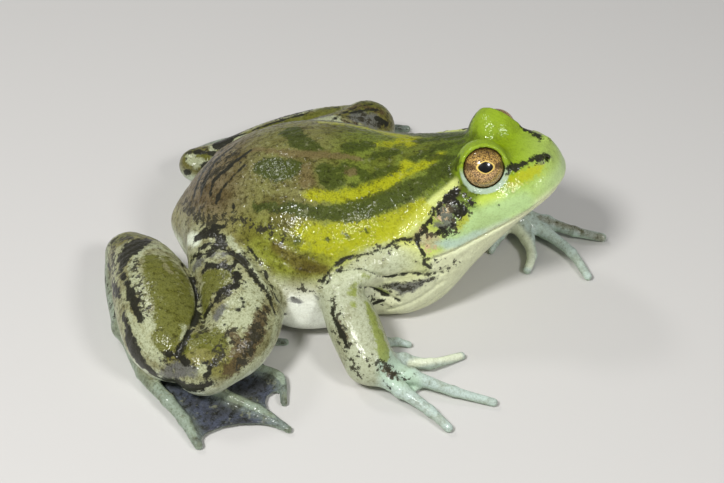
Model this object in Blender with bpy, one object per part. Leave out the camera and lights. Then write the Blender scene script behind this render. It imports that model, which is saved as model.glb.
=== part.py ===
"""A bullfrog sitting at rest, life size, in metres: nose along +X, its left side along +Y, belly on z = 0.

The body is drawn as signed distance shapes, in millimetres: a torso lofted through stations from vent to
snout, and limbs that are chains of round sections. They flow together into one body, which thin gaps then
part into the pieces that a person would name. Each piece is meshed, thinned and given its own material.
"""

import math

import bpy
import numpy as np
import openvdb

MM = 0.001
GRID_STEP = 0.55
JOINT_GAP = 0.44
FLOOR_SNAP = 0.16
FAR = 30.0
MARGIN = 5.0

# ---- Driving sizes, in millimetres

SNOUT_TIP_X = 60.0
VENT_X = -57.0
SNOUT_ROUNDING = 9.5
VENT_ROUNDING = 15.0
NECK_X = 21.0

# x, top, widest level, bottom, half-width, roundness above and below the widest level, swing of the spine
TORSO = (
    (-57.0, 19.0, 9.5, 3.0, 10.0, 2.0, 2.0, 2.5),
    (-50.0, 25.5, 10.5, 1.0, 16.0, 2.0, 2.2, 1.8),
    (-41.0, 33.0, 11.5, -0.8, 24.0, 2.0, 2.6, 1.0),
    (-28.0, 40.0, 12.0, -0.8, 32.0, 2.0, 3.2, 0.0),
    (-14.0, 43.2, 12.0, -0.8, 35.8, 2.0, 4.0, -1.4),
    (-3.0, 43.0, 12.0, -0.8, 34.0, 2.0, 4.2, -1.0),
    (8.0, 42.2, 12.0, -0.8, 29.0, 2.0, 4.2, 0.0),
    (18.0, 41.8, 12.5, -0.8, 27.5, 2.1, 4.3, 0.5),
    (28.0, 42.8, 17.8, 1.0, 24.3, 2.2, 3.0, 1.2),
    (36.0, 44.7, 25.0, 9.3, 20.9, 2.3, 2.2, 1.7),
    (44.0, 46.4, 31.5, 20.0, 17.8, 2.4, 2.0, 1.3),
    (52.0, 47.0, 37.0, 30.4, 14.0, 2.4, 2.0, 0.2),
    (60.0, 46.5, 39.8, 35.6, 9.6, 2.3, 2.0, -0.9),
)

EYE_RADIUS = 6.5
LID_THICKNESS = 1.0
EYE_OPENING = math.radians(55.0)
EYE_GAP = 0.3
LID_STANDS_BACK = 0.4
EYES = {  # centre, then azimuth from the nose (degrees, left positive) and elevation of the line of sight
    "right": ((36.4, -6.8, 44.2), -80.0, 26.0),
    "left": ((39.4, 9.9, 44.0), 62.0, 26.0),
}

TYMPANUM_RADIUS = 4.3
TYMPANUM_DEPTH = 1.4
TYMPANA = {  # a point on the disc and the direction that it faces
    "right": ((27.3, -17.3, 35.8), (-0.12, -0.80, 0.58)),
    "left": ((30.0, 19.8, 35.6), (0.14, 0.80, 0.58)),
}

MOUTH = ((20.0, 22.5), (25.0, 23.4), (33.0, 26.0), (45.0, 32.0), (54.0, 37.2), (61.0, 39.8))  # x and level

# Limbs are rows of x, y, z and radius
LIMBS = {
    "upper_arm_right": ((17, -20, 21.5, 6.5), (7.5, -25.8, 22, 5.2), (-2.6, -32.6, 18.4, 5.2)),
    "forearm_right": ((-1.9, -33.6, 16.8, 5.9), (3, -41.4, 12, 7.4), (8, -50, 7.2, 7.0)),
    "upper_arm_left": ((19, 21, 20.5, 6.5), (25, 30.5, 17.5, 5.3), (30, 39, 13.8, 5.2)),
    "forearm_left": ((30.5, 39.8, 13, 5.6), (38.5, 30, 10.5, 6.4), (47, 19, 6.2, 4.7)),
    "thigh_right": (
        (-41, -4.5, 15.5, 10), (-35.5, -20.5, 15.5, 11.8), (-29, -38.5, 14.5, 12),
        (-29, -51.8, 12.8, 9.9), (-35.8, -59.4, 11, 7.9),
    ),
    "shank_right": (
        (-42, -56.6, 11, 8.0), (-48.1, -50.9, 12, 11.5), (-53.8, -36.8, 12.4, 12.2),
        (-60.3, -23, 11.4, 9.8), (-66.5, -14, 9.6, 6.8),
    ),
    "tarsus_right": ((-68.5, -13.5, 8.4, 5.6), (-67.5, -24.5, 6.2, 4.6), (-63.5, -38, 4.4, 4.0)),
    "thigh_left": (
        (-41, 11.5, 15.5, 9.5), (-30, 23.5, 15.5, 10.4), (-15, 35.5, 15, 10), (-1, 48.5, 13.8, 8),
    ),
    "shank_left": (
        (-8, 50, 12.8, 7.4), (-17, 47.4, 12, 8.0), (-30.5, 42, 10.8, 7.6), (-44, 35, 9.6, 6.2),
        (-54, 31, 8.6, 5.4),
    ),
    "tarsus_left": ((-54.5, 32, 7.8, 5.2), (-48, 41.5, 6, 4.3), (-37, 50, 4.3, 3.8)),
}

# Knees are balls that round off the ends of the thighs
KNEES = {"right": (-37, -58.8, 10.8, 8.0), "left": (-1.2, 49.3, 13.2, 8.4)}

# Each finger runs from the wrist through its knuckle to its tip
FINGERS = {
    "finger_1_right": (
        (9, -45, 5.0, 2.7), (11.5, -38.8, 3.2, 1.5), (15, -36.7, 1.9, 1.15), (18.4, -36.4, 0.8, 0.95),
    ),
    "finger_2_right": (
        (11, -48.5, 5.6, 3.1), (17.5, -45.8, 3.7, 1.95), (25, -44.9, 2.2, 1.5), (33.6, -39.8, 0.9, 1.15),
    ),
    "finger_3_right": (
        (11.5, -50.5, 5.6, 3.1), (20.2, -51.7, 3.7, 2.0), (32, -54.8, 2.0, 1.4), (43.2, -57, 0.9, 1.15),
    ),
    "finger_4_right": (
        (10.5, -52.5, 5.4, 3.1), (17.5, -57.2, 3.7, 2.0), (25.8, -62.6, 2.0, 1.45), (31.2, -67.6, 1.0, 1.25),
    ),
    "finger_1_left": (
        (46, 16.5, 5.0, 2.7), (43.6, 12, 3.2, 1.6), (42.2, 9.4, 2.1, 1.3), (41, 6.4, 0.8, 1.0),
    ),
    "finger_2_left": (
        (48, 16, 5.4, 3.0), (52, 10, 3.4, 1.9), (53.4, 4, 2.1, 1.45), (52.1, -1.6, 0.9, 1.2),
    ),
    "finger_3_left": (
        (49.5, 16.7, 5.4, 3.0), (57.5, 13.6, 3.6, 1.9), (65.4, 6.4, 2.1, 1.45), (70.3, -2.8, 1.0, 1.25),
    ),
    "finger_4_left": (
        (49.5, 18, 5.2, 3.0), (57.8, 18.3, 3.6, 1.95), (66.5, 16.3, 2.2, 1.55), (75.2, 15.4, 1.1, 1.35),
    ),
}

# Each toe runs from the end of the tarsus to its tip, first the innermost
TOES = {
    "right": (
        ((-63.5, -36, 4.0, 2.6), (-52, -34, 2.4, 1.7), (-42, -32, 1.7, 1.4), (-33, -29.5, 0.8, 1.0)),
        ((-63.5, -37.5, 4.0, 2.9), (-46, -39, 2.5, 1.7), (-30, -39.5, 1.8, 1.4), (-17, -38.5, 0.8, 1.0)),
        (
            (-63.5, -39, 4.0, 3.1), (-44, -46.5, 2.8, 1.9), (-24, -50.8, 2.3, 1.35),
            (-16.6, -53.6, 1.8, 1.15), (-14.5, -62, 0.8, 1.0),
        ),
        (
            (-63.5, -40.5, 4.0, 3.1), (-50, -52.5, 3.1, 2.2), (-33.2, -61, 2.7, 1.55),
            (-21.4, -66.2, 1.9, 1.3), (-12, -71.8, 0.8, 1.0),
        ),
        (
            (-62.5, -40, 4.0, 3.1), (-54.5, -56.5, 3.3, 2.2), (-46, -66, 2.9, 1.8),
            (-40.5, -72.2, 2.2, 1.6), (-35.4, -79.6, 1.0, 1.25),
        ),
    ),
    "left": (
        ((-36, 47.5, 4.0, 2.6), (-29, 44, 2.5, 1.7), (-22, 41.5, 1.8, 1.4), (-15, 39, 0.8, 1.0)),
        ((-35.5, 49, 4.0, 2.9), (-24, 47.5, 2.6, 1.8), (-13, 46.5, 1.9, 1.4), (-3.5, 45, 0.8, 1.0)),
        ((-35, 50.5, 4.0, 3.1), (-22, 52.5, 2.8, 1.9), (-6, 54, 2.1, 1.4), (9, 54, 0.8, 1.0)),
        ((-35, 52, 4.0, 3.1), (-20, 58.5, 3.0, 2.0), (-4, 63.5, 2.2, 1.5), (11.2, 66.5, 0.9, 1.15)),
        ((-36, 53, 4.0, 3.1), (-26, 63, 3.1, 2.0), (-16, 70, 2.3, 1.6), (-6, 75.5, 0.9, 1.1)),
    ),
}
WEB_HALF_THICKNESS = 0.55
WEB_LEVEL = 1.1
WEB_REACH = (0.78, 0.84, 0.9, 0.98)  # how far along its toes each web grows, from the innermost outwards
HAND_WEB_REACH = 0.42

HEIGHTS = {"thigh": 0.88, "shank": 0.9}  # of a limb's section, over its width

# How softly each part flows into the body drawn before it
BLENDS = {
    "upper_arm": 3.0, "forearm": 1.6, "hand": 2.4, "finger": 1.4,
    "thigh": 3.2, "knee": 4.0, "shank": 1.0, "tarsus": 1.2, "foot": 1.6,
}

# Triangles that each piece keeps
BUDGETS = {
    "head": 1500, "lower_jaw": 560, "trunk": 1500, "eye": 260, "tympanum": 90,
    "upper_arm": 170, "forearm": 220, "hand": 260, "finger": 76,
    "thigh": 380, "shank": 360, "tarsus": 170, "foot": 800,
}

COLOURS = {  # base colour and roughness
    "head": ((0.30, 0.48, 0.06), 0.34),
    "lower_jaw": ((0.68, 0.72, 0.48), 0.36),
    "trunk": ((0.24, 0.32, 0.05), 0.38),
    "eye": ((0.36, 0.21, 0.06), 0.06),
    "tympanum": ((0.20, 0.19, 0.15), 0.35),
    "upper_arm": ((0.56, 0.57, 0.42), 0.38),
    "forearm": ((0.50, 0.52, 0.36), 0.38),
    "hand": ((0.45, 0.52, 0.44), 0.36),
    "finger": ((0.47, 0.60, 0.54), 0.34),
    "thigh": ((0.38, 0.38, 0.22), 0.38),
    "shank": ((0.32, 0.34, 0.16), 0.38),
    "tarsus": ((0.40, 0.48, 0.42), 0.38),
    "foot": ((0.22, 0.27, 0.32), 0.36),
}


# ---- Signed distance shapes: negative inside

class Canvas:
    """A regular grid of points, and windows of it."""

    def __init__(self, low, high, step):
        self.low = np.array(low, float)
        self.step = step
        self.shape = tuple(int(n) for n in np.ceil((np.array(high) - self.low) / step))

    def window(self, low, high):
        """(slices, x, y, z) of the grid points in a box, as arrays that broadcast."""
        first = np.floor((np.array(low) - MARGIN - self.low) / self.step).astype(int)
        last = np.ceil((np.array(high) + MARGIN - self.low) / self.step).astype(int)
        first = np.clip(first, 0, self.shape)
        last = np.clip(last, 0, self.shape)
        slices = tuple(slice(a, b) for a, b in zip(first, last))
        axes = [self.low[i] + self.step * np.arange(first[i], last[i]) for i in range(3)]
        x, y, z = np.meshgrid(*axes, indexing="ij", sparse=True)
        return slices, x, y, z


def smooth_min(a, b, reach):
    overlap = np.maximum(reach - np.abs(a - b), 0.0) / reach
    return np.minimum(a, b) - overlap * overlap * reach * 0.25


def spline(rows, per_span):
    """Points of a Catmull-Rom curve through the rows, whatever the number of columns."""
    rows = np.array(rows, float)
    padded = np.vstack([2 * rows[0] - rows[1], rows, 2 * rows[-1] - rows[-2]])
    points = []
    for before, start, end, after in zip(padded, padded[1:], padded[2:], padded[3:]):
        for step in range(per_span):
            t = step / per_span
            points.append(0.5 * (2 * start + (end - before) * t
                                 + (2 * before - 5 * start + 4 * end - after) * t * t
                                 + (3 * start - before - 3 * end + after) * t ** 3))
    points.append(rows[-1])
    return np.array(points)


def smooth_table(rows, at):
    """Every column after the first of a table, read at `at` on a smooth curve through its rows."""
    rows = np.array(rows, float)
    slopes = np.gradient(rows[:, 1:], rows[:, 0], axis=0)
    at = np.clip(at, rows[0, 0], rows[-1, 0])
    i = np.clip(np.searchsorted(rows[:, 0], at, side="right") - 1, 0, len(rows) - 2)
    span = rows[i + 1, 0] - rows[i, 0]
    t = (at - rows[i, 0]) / span
    weights = (
        (1 + 2 * t) * (1 - t) ** 2, t * (1 - t) ** 2 * span, t * t * (3 - 2 * t), t * t * (t - 1) * span,
    )
    ends = (rows[i, 1:], slopes[i], rows[i + 1, 1:], slopes[i + 1])
    return sum(weight[..., None] * end for weight, end in zip(weights, ends))


def chain(canvas, rows, height=1.0, per_span=5):
    """A limb along a smooth curve. Its section is round, or an oval of this height over its width."""
    points = spline(rows, per_span)
    reach = points[:, 3].max()
    slices, x, y, z = canvas.window(points[:, :3].min(0) - reach, points[:, :3].max(0) + reach)
    distance = np.full(np.broadcast_shapes(x.shape, y.shape, z.shape), FAR)
    for start, end in zip(points, points[1:]):
        along = end[:3] - start[:3]
        dx, dy, dz = x - start[0], y - start[1], z - start[2]
        t = np.clip((dx * along[0] + dy * along[1] + dz * along[2]) / (along @ along), 0.0, 1.0)
        radius = start[3] + t * (end[3] - start[3])
        gap = np.sqrt((dx - t * along[0]) ** 2 + (dy - t * along[1]) ** 2
                      + ((dz - t * along[2]) / height) ** 2) - radius
        np.minimum(distance, gap, out=distance)
    return slices, distance


def ball(canvas, centre, radius):
    slices, x, y, z = canvas.window(np.array(centre) - radius, np.array(centre) + radius)
    return slices, np.sqrt((x - centre[0]) ** 2 + (y - centre[1]) ** 2 + (z - centre[2]) ** 2) - radius


def outline_distance(outline, x, y):
    """Distance in the plane from a closed outline, negative inside it."""
    outline = np.array(outline, float)
    nearest = np.full(np.broadcast_shapes(x.shape, y.shape), FAR ** 2)
    inside = np.zeros(nearest.shape, bool)
    for start, end in zip(outline, np.roll(outline, -1, axis=0)):
        along = end - start
        dx, dy = x - start[0], y - start[1]
        t = np.clip((dx * along[0] + dy * along[1]) / (along @ along), 0.0, 1.0)
        np.minimum(nearest, (dx - t * along[0]) ** 2 + (dy - t * along[1]) ** 2, out=nearest)
        if start[1] != end[1]:
            crossing = start[0] + (y - start[1]) * along[0] / along[1]
            inside ^= ((y < start[1]) != (y < end[1])) & (x < crossing)
    return np.where(inside, -1.0, 1.0) * np.sqrt(nearest)


def web(canvas, inner, outer, reach):
    """The skin between two toes, whose free edge bows in between the points where it ends on them."""
    inner_path = spline(inner, 6)[:, :2]
    outer_path = spline(outer, 6)[:, :2]
    inner_path = inner_path[: 2 + int(reach * (len(inner_path) - 2))]
    outer_path = outer_path[: 2 + int(reach * (len(outer_path) - 2))]
    start, end = outer_path[-1], inner_path[-1]
    root = (inner_path[0] + outer_path[0]) / 2
    bow = 0.08 * (root - (start + end) / 2)
    edge = [start + (end - start) * t + bow * 4 * t * (1 - t) for t in (0.2, 0.4, 0.6, 0.8)]
    outline = np.vstack([outer_path, edge, inner_path[::-1]])
    low = np.append(outline.min(0), 0.0)
    high = np.append(outline.max(0), 2 * WEB_LEVEL)
    slices, x, y, z = canvas.window(low, high)
    across = outline_distance(outline, x[:, :, 0], y[:, :, 0])[:, :, None]
    return slices, np.maximum(across, np.abs(z - WEB_LEVEL) - WEB_HALF_THICKNESS)


def torso(canvas):
    """The loft from vent to snout, with rounded ends, along a spine that swings a little."""
    rows = np.array(TORSO)
    low = (VENT_X, -rows[:, 4].max(), rows[:, 3].min())
    high = (SNOUT_TIP_X, rows[:, 4].max(), rows[:, 1].max())
    slices, x, y, z = canvas.window(low, high)
    table = smooth_table(TORSO, x[:, 0, 0])[:, None, None, :]
    top, level, bottom, half_width, above, below, swing = (table[..., i] for i in range(7))
    roundness = np.where(z > level, above, below)
    side = np.abs(y - swing) / half_width
    rise = np.abs(z - level) / np.where(z > level, top - level, level - bottom)
    nose = np.maximum(0.0, (x - SNOUT_TIP_X + SNOUT_ROUNDING) / SNOUT_ROUNDING)
    tail = np.maximum(0.0, (VENT_X + VENT_ROUNDING - x) / VENT_ROUNDING)
    end = np.maximum(nose, tail)
    end_length = np.where(nose > tail, SNOUT_ROUNDING, VENT_ROUNDING)
    size = np.maximum((side ** roundness + rise ** roundness + end ** roundness) ** (1 / roundness), 1e-3)
    slope = np.sqrt((side ** (roundness - 1) / half_width) ** 2
                    + (rise ** (roundness - 1) / np.where(z > level, top - level, level - bottom)) ** 2
                    + (end ** (roundness - 1) / end_length) ** 2) * size ** (1 - roundness)
    return slices, (size - 1) / slope


def along_and_aside(x, y, z, centre, ahead):
    """How far points lie ahead of a centre along a direction, and how far off that line."""
    dx, dy, dz = x - centre[0], y - centre[1], z - centre[2]
    forward = dx * ahead[0] + dy * ahead[1] + dz * ahead[2]
    return forward, np.sqrt(np.maximum(dx ** 2 + dy ** 2 + dz ** 2 - forward ** 2, 0.0))


def direction(azimuth, elevation):
    azimuth, elevation = math.radians(azimuth), math.radians(elevation)
    return np.array((math.cos(azimuth) * math.cos(elevation), math.sin(azimuth) * math.cos(elevation),
                     math.sin(elevation)))


# ---- The frog

def drawing(canvas):
    """(whole, parts): the distance to the whole body, and (slices, distance) of each part by name."""
    whole = np.full(canvas.shape, FAR)
    parts = {}

    def add(name, shape, blend):
        slices, distance = shape
        whole[slices] = smooth_min(whole[slices], distance, blend)
        if name in parts:
            old_slices, old = parts[name]
            low = [min(a.start, b.start) for a, b in zip(slices, old_slices)]
            high = [max(a.stop, b.stop) for a, b in zip(slices, old_slices)]
            joined = np.full([b - a for a, b in zip(low, high)], FAR)
            for part, values in ((old_slices, old), (slices, distance)):
                inside = tuple(slice(s.start - a, s.stop - a) for s, a in zip(part, low))
                np.minimum(joined[inside], values, out=joined[inside])
            slices, distance = tuple(slice(a, b) for a, b in zip(low, high)), joined
        parts[name] = slices, distance

    add("torso", torso(canvas), 1.0)
    for centre, _, _ in EYES.values():
        slices, lid = ball(canvas, centre, EYE_RADIUS + LID_THICKNESS)
        add("torso", (slices, lid), 3.0)
    for name, rows in LIMBS.items():
        limb, side = name.rsplit("_", 1)
        add(name, chain(canvas, rows, HEIGHTS.get(limb, 1.0)), BLENDS[limb])
        if limb == "thigh":
            *centre, radius = KNEES[side]
            add(name, ball(canvas, centre, radius), BLENDS["knee"])
    for name, rows in FINGERS.items():
        side = name.rsplit("_", 1)[1]
        add(f"hand_{side}", chain(canvas, rows[:2]), BLENDS["hand"])
        add(name, chain(canvas, rows[1:]), BLENDS["finger"])
    for side in ("right", "left"):
        fourth, third = (FINGERS[f"finger_{n}_{side}"] for n in (4, 3))
        add(f"hand_{side}", web(canvas, third, fourth, HAND_WEB_REACH), BLENDS["foot"])
        toes = TOES[side]
        for toe in toes:
            add(f"foot_{side}", chain(canvas, toe), BLENDS["foot"])
        for inner, outer, reach in zip(toes, toes[1:], WEB_REACH):
            add(f"foot_{side}", web(canvas, inner, outer, reach), BLENDS["foot"])
    return whole, parts


def part_head(canvas, parts):
    """Replaces the torso by trunk, head and lower jaw, which share it at the neck and the mouth."""
    slices, loft = parts.pop("torso")
    x, _, z = (canvas.low[i] + canvas.step * np.arange(s.start, s.stop) for i, s in enumerate(slices))
    x, z = x[:, None, None], z[None, None, :]
    past_neck = (x - NECK_X) * 0.96 + (z - 25.0) * 0.16
    above_mouth = z - smooth_table(MOUTH, x[:, 0, 0])[:, None, None, 0]
    parts["trunk"] = slices, np.maximum(loft, past_neck)
    parts["head"] = slices, np.maximum(np.maximum(loft, -past_neck), -above_mouth)
    parts["lower_jaw"] = slices, np.maximum(np.maximum(loft, -past_neck), above_mouth)


def sight(side):
    centre, azimuth, elevation = EYES[side]
    return np.array(centre), direction(azimuth, elevation)


def open_lids(canvas, whole):
    """Cuts the round opening through which each eye shows."""
    for side in EYES:
        centre, ahead = sight(side)
        slices, x, y, z = canvas.window(centre - EYE_RADIUS, centre + EYE_RADIUS)
        forward, aside = along_and_aside(x, y, z, centre, ahead)
        opening = np.maximum(aside - EYE_RADIUS * math.sin(EYE_OPENING),
                             EYE_RADIUS * math.cos(EYE_OPENING) - LID_STANDS_BACK - forward)
        whole[slices] = np.maximum(whole[slices], -opening)


def pieces(canvas):
    """(slices, distance) of each piece of the model, with gaps between them."""
    whole, parts = drawing(canvas)
    open_lids(canvas, whole)
    for side in EYES:
        centre, _ = sight(side)
        slices, eye = ball(canvas, centre, EYE_RADIUS + EYE_GAP)
        whole[slices] = np.maximum(whole[slices], -eye)
    part_head(canvas, parts)
    for side, (centre, facing) in TYMPANA.items():
        parts[f"tympanum_{side}"] = disc(canvas, whole, np.array(centre), np.array(facing))
    nearest = np.full(canvas.shape, FAR)
    second = np.full(canvas.shape, FAR)
    owner = np.full(canvas.shape, -1, np.int16)
    for index, (slices, distance) in enumerate(parts.values()):
        best, next_best, own = nearest[slices], second[slices], owner[slices]
        closer = distance < best
        next_best[:] = np.where(closer, best, np.minimum(next_best, distance))
        own[closer] = index
        np.minimum(best, distance, out=best)
    result = {}
    for index, (name, (slices, distance)) in enumerate(parts.items()):
        others = np.where(owner[slices] == index, second[slices], nearest[slices])
        result[name] = slices, np.maximum(whole[slices], (distance - others + JOINT_GAP) / 2)
    for side in EYES:
        result[f"eye_{side}"] = ball(canvas, sight(side)[0], EYE_RADIUS)
    return result


def disc(canvas, whole, centre, facing):
    """The ear drum: a disc let into the skin, with a distance low enough for it to win over the head."""
    facing = facing / np.linalg.norm(facing)
    slices, x, y, z = canvas.window(centre - TYMPANUM_RADIUS, centre + TYMPANUM_RADIUS)
    forward, aside = along_and_aside(x, y, z, centre, facing)
    depth = -whole[slices] - TYMPANUM_DEPTH
    edge = np.maximum(np.maximum(aside - TYMPANUM_RADIUS, depth), np.abs(forward) - 2 * TYMPANUM_DEPTH)
    return slices, np.where(edge < 3.0, 2 * edge + np.minimum(whole[slices], 0.0), FAR)


# ---- Meshes

def material(name):
    colour, roughness = COLOURS[kind(name)]
    made = bpy.data.materials.new(name)
    made.use_nodes = True
    surface = made.node_tree.nodes["Principled BSDF"]
    surface.inputs["Base Color"].default_value = (*colour, 1.0)
    surface.inputs["Roughness"].default_value = roughness
    made.diffuse_color = (*colour, 1.0)
    return made


def kind(name):
    """The name without its side and number."""
    return name.removesuffix("_right").removesuffix("_left").rstrip("_1234")


def meshed(canvas, name, slices, distance):
    grid = openvdb.FloatGrid(3.0)
    padded = np.pad(np.clip(distance, -3.0, 3.0), 1, constant_values=3.0)
    grid.copyFromArray(np.ascontiguousarray(padded, np.float32))
    points, quads = grid.convertToQuads(0.0)
    first = np.array([s.start for s in slices]) - 1
    points = (points + first) * canvas.step + canvas.low
    mesh = bpy.data.meshes.new(name)
    mesh.from_pydata(points * MM, [], quads.tolist())
    return largest(mesh)


def largest(mesh):
    """Keeps the mesh's largest connected body, as a blend can leave crumbs beside it."""
    count = len(mesh.vertices)
    label = np.arange(count)
    edges = np.empty(len(mesh.edges) * 2, np.int64)
    mesh.edges.foreach_get("vertices", edges)
    a, b = edges.reshape(-1, 2).T
    while True:
        before = label.copy()
        low = np.minimum(label[a], label[b])
        np.minimum.at(label, a, low)
        np.minimum.at(label, b, low)
        label = label[label]
        if (label == before).all():
            break
    values, counts = np.unique(label, return_counts=True)
    keep = label == values[counts.argmax()]
    if keep.all():
        return mesh
    points = np.empty(count * 3)
    mesh.vertices.foreach_get("co", points)
    renumber = np.cumsum(keep) - 1
    faces = [[int(renumber[v]) for v in face.vertices] for face in mesh.polygons if keep[face.vertices[0]]]
    kept = bpy.data.meshes.new(mesh.name)
    kept.from_pydata(points.reshape(-1, 3)[keep], [], faces)
    return kept


def thinned(obj, triangles):
    """Collapses edges down to about this many triangles."""
    modifier = obj.modifiers.new("Thin", "DECIMATE")
    modifier.ratio = min(1.0, triangles / (2 * len(obj.data.polygons)))
    graph = bpy.context.evaluated_depsgraph_get()
    mesh = bpy.data.meshes.new_from_object(obj.evaluated_get(graph))
    obj.modifiers.clear()
    obj.data = mesh
    points = np.empty(len(mesh.vertices) * 3)
    mesh.vertices.foreach_get("co", points)
    points = points.reshape(-1, 3)
    points[points[:, 2] < FLOOR_SNAP * MM, 2] = 0.0
    mesh.vertices.foreach_set("co", points.ravel())
    mesh.shade_smooth()


def build():
    for obj in list(bpy.data.objects):
        bpy.data.objects.remove(obj)
    canvas = Canvas((-80.0, -92.0, -2.1), (84.0, 80.0, 58.0), GRID_STEP)
    for name, (slices, distance) in pieces(canvas).items():
        level = (canvas.low[2] + canvas.step * np.arange(slices[2].start, slices[2].stop))[None, None, :]
        mesh = meshed(canvas, name, slices, np.maximum(distance, -level))
        obj = bpy.data.objects.new(name, mesh)
        bpy.context.scene.collection.objects.link(obj)
        thinned(obj, BUDGETS[kind(name)])
        obj.data.materials.append(material(name))


build()
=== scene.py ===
"""Looks of the bullfrog: one wet skin over all the flesh, two eyes, a pale floor, lamps and the camera.

The skin repeats the driving sizes of the CAD model, in its millimetres, on a finer grid. It adds what the
solids leave out: lids, nostrils, lips, ear rings, folds, creases and warts. Markings are strokes laid on
the skin: each vertex keeps its distance to them, and the material turns that into ragged edges.
"""

import math

import bpy
import numpy as np
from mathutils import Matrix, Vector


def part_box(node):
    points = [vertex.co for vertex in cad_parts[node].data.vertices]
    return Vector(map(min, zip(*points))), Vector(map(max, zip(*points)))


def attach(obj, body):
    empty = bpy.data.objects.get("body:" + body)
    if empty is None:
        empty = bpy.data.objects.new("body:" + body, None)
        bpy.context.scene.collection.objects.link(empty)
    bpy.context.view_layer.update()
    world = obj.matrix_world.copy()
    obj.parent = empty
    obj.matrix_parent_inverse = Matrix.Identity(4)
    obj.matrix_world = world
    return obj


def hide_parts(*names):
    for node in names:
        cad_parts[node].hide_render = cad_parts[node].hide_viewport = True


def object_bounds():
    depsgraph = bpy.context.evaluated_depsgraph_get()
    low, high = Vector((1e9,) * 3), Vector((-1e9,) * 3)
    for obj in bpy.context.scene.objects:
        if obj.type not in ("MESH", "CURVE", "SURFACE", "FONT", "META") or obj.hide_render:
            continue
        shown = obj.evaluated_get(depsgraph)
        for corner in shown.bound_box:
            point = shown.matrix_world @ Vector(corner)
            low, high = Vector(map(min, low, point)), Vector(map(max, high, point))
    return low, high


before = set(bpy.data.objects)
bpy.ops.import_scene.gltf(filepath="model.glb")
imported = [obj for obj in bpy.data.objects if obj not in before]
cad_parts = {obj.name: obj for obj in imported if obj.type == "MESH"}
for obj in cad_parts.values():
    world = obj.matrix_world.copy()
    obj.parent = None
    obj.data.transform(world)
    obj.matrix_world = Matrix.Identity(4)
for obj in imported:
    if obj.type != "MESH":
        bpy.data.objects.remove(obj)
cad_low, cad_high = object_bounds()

import openvdb
from mathutils import Matrix, Vector, noise

MM = 0.001
GRID_STEP = 0.35
GRID_MARGIN = 3.0
WINDOW_MARGIN = 4.5
FAR = 30.0  # stands for any distance too large to matter

# ---- Sizes of the CAD model, in millimetres

SNOUT_TIP_X = 60.0
VENT_X = -57.0
SNOUT_ROUNDING = 9.5
VENT_ROUNDING = 15.0

# x, top, widest level, bottom, half-width, roundness above and below the widest level, swing of the spine
TORSO = (
    (-57.0, 19.0, 9.5, 3.0, 10.0, 2.0, 2.0, 2.5),
    (-50.0, 25.5, 10.5, 1.0, 16.0, 2.0, 2.2, 1.8),
    (-41.0, 33.0, 11.5, -0.8, 24.0, 2.0, 2.6, 1.0),
    (-28.0, 40.0, 12.0, -0.8, 32.0, 2.0, 3.2, 0.0),
    (-14.0, 43.2, 12.0, -0.8, 35.8, 2.0, 4.0, -1.4),
    (-3.0, 43.0, 12.0, -0.8, 34.0, 2.0, 4.2, -1.0),
    (8.0, 42.2, 12.0, -0.8, 29.0, 2.0, 4.2, 0.0),
    (18.0, 41.8, 12.5, -0.8, 27.5, 2.1, 4.3, 0.5),
    (28.0, 42.8, 17.8, 1.0, 24.3, 2.2, 3.0, 1.2),
    (36.0, 44.7, 25.0, 9.3, 20.9, 2.3, 2.2, 1.7),
    (44.0, 46.4, 31.5, 20.0, 17.8, 2.4, 2.0, 1.3),
    (52.0, 47.0, 37.0, 30.4, 14.0, 2.4, 2.0, 0.2),
    (60.0, 46.5, 39.8, 35.6, 9.6, 2.3, 2.0, -0.9),
)

LID_THICKNESS = 1.0
EYE_GAP = 0.3
LINE_OF_SIGHT = {"right": (-80.0, 26.0), "left": (62.0, 26.0)}  # azimuth from the nose, elevation

TYMPANUM_RADIUS = 4.3
TYMPANUM_FACING = {"right": (-0.12, -0.80, 0.58), "left": (0.14, 0.80, 0.58)}

MOUTH = (  # x and level
    (20.0, 22.5), (25.0, 23.4), (33.0, 26.0), (45.0, 32.0), (54.0, 37.2), (61.0, 39.8),
)

# Limbs are rows of x, y, z and radius
LIMBS = {
    "upper_arm_right": ((17, -20, 21.5, 6.5), (7.5, -25.8, 22, 5.2), (-2.6, -32.6, 18.4, 5.2)),
    "forearm_right": ((-1.9, -33.6, 16.8, 5.9), (3, -41.4, 12, 7.4), (8, -50, 7.2, 7.0)),
    "upper_arm_left": ((19, 21, 20.5, 6.5), (25, 30.5, 17.5, 5.3), (30, 39, 13.8, 5.2)),
    "forearm_left": ((30.5, 39.8, 13, 5.6), (38.5, 30, 10.5, 6.4), (47, 19, 6.2, 4.7)),
    "thigh_right": (
        (-41, -4.5, 15.5, 10), (-35.5, -20.5, 15.5, 11.8), (-29, -38.5, 14.5, 12),
        (-29, -51.8, 12.8, 9.9), (-35.8, -59.4, 11, 7.9),
    ),
    "shank_right": (
        (-42, -56.6, 11, 8.0), (-48.1, -50.9, 12, 11.5), (-53.8, -36.8, 12.4, 12.2),
        (-60.3, -23, 11.4, 9.8), (-66.5, -14, 9.6, 6.8),
    ),
    "tarsus_right": ((-68.5, -13.5, 8.4, 5.6), (-67.5, -24.5, 6.2, 4.6), (-63.5, -38, 4.4, 4.0)),
    "thigh_left": (
        (-41, 11.5, 15.5, 9.5), (-30, 23.5, 15.5, 10.4), (-15, 35.5, 15, 10), (-1, 48.5, 13.8, 8),
    ),
    "shank_left": (
        (-8, 50, 12.8, 7.4), (-17, 47.4, 12, 8.0), (-30.5, 42, 10.8, 7.6), (-44, 35, 9.6, 6.2),
        (-54, 31, 8.6, 5.4),
    ),
    "tarsus_left": ((-54.5, 32, 7.8, 5.2), (-48, 41.5, 6, 4.3), (-37, 50, 4.3, 3.8)),
}

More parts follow.
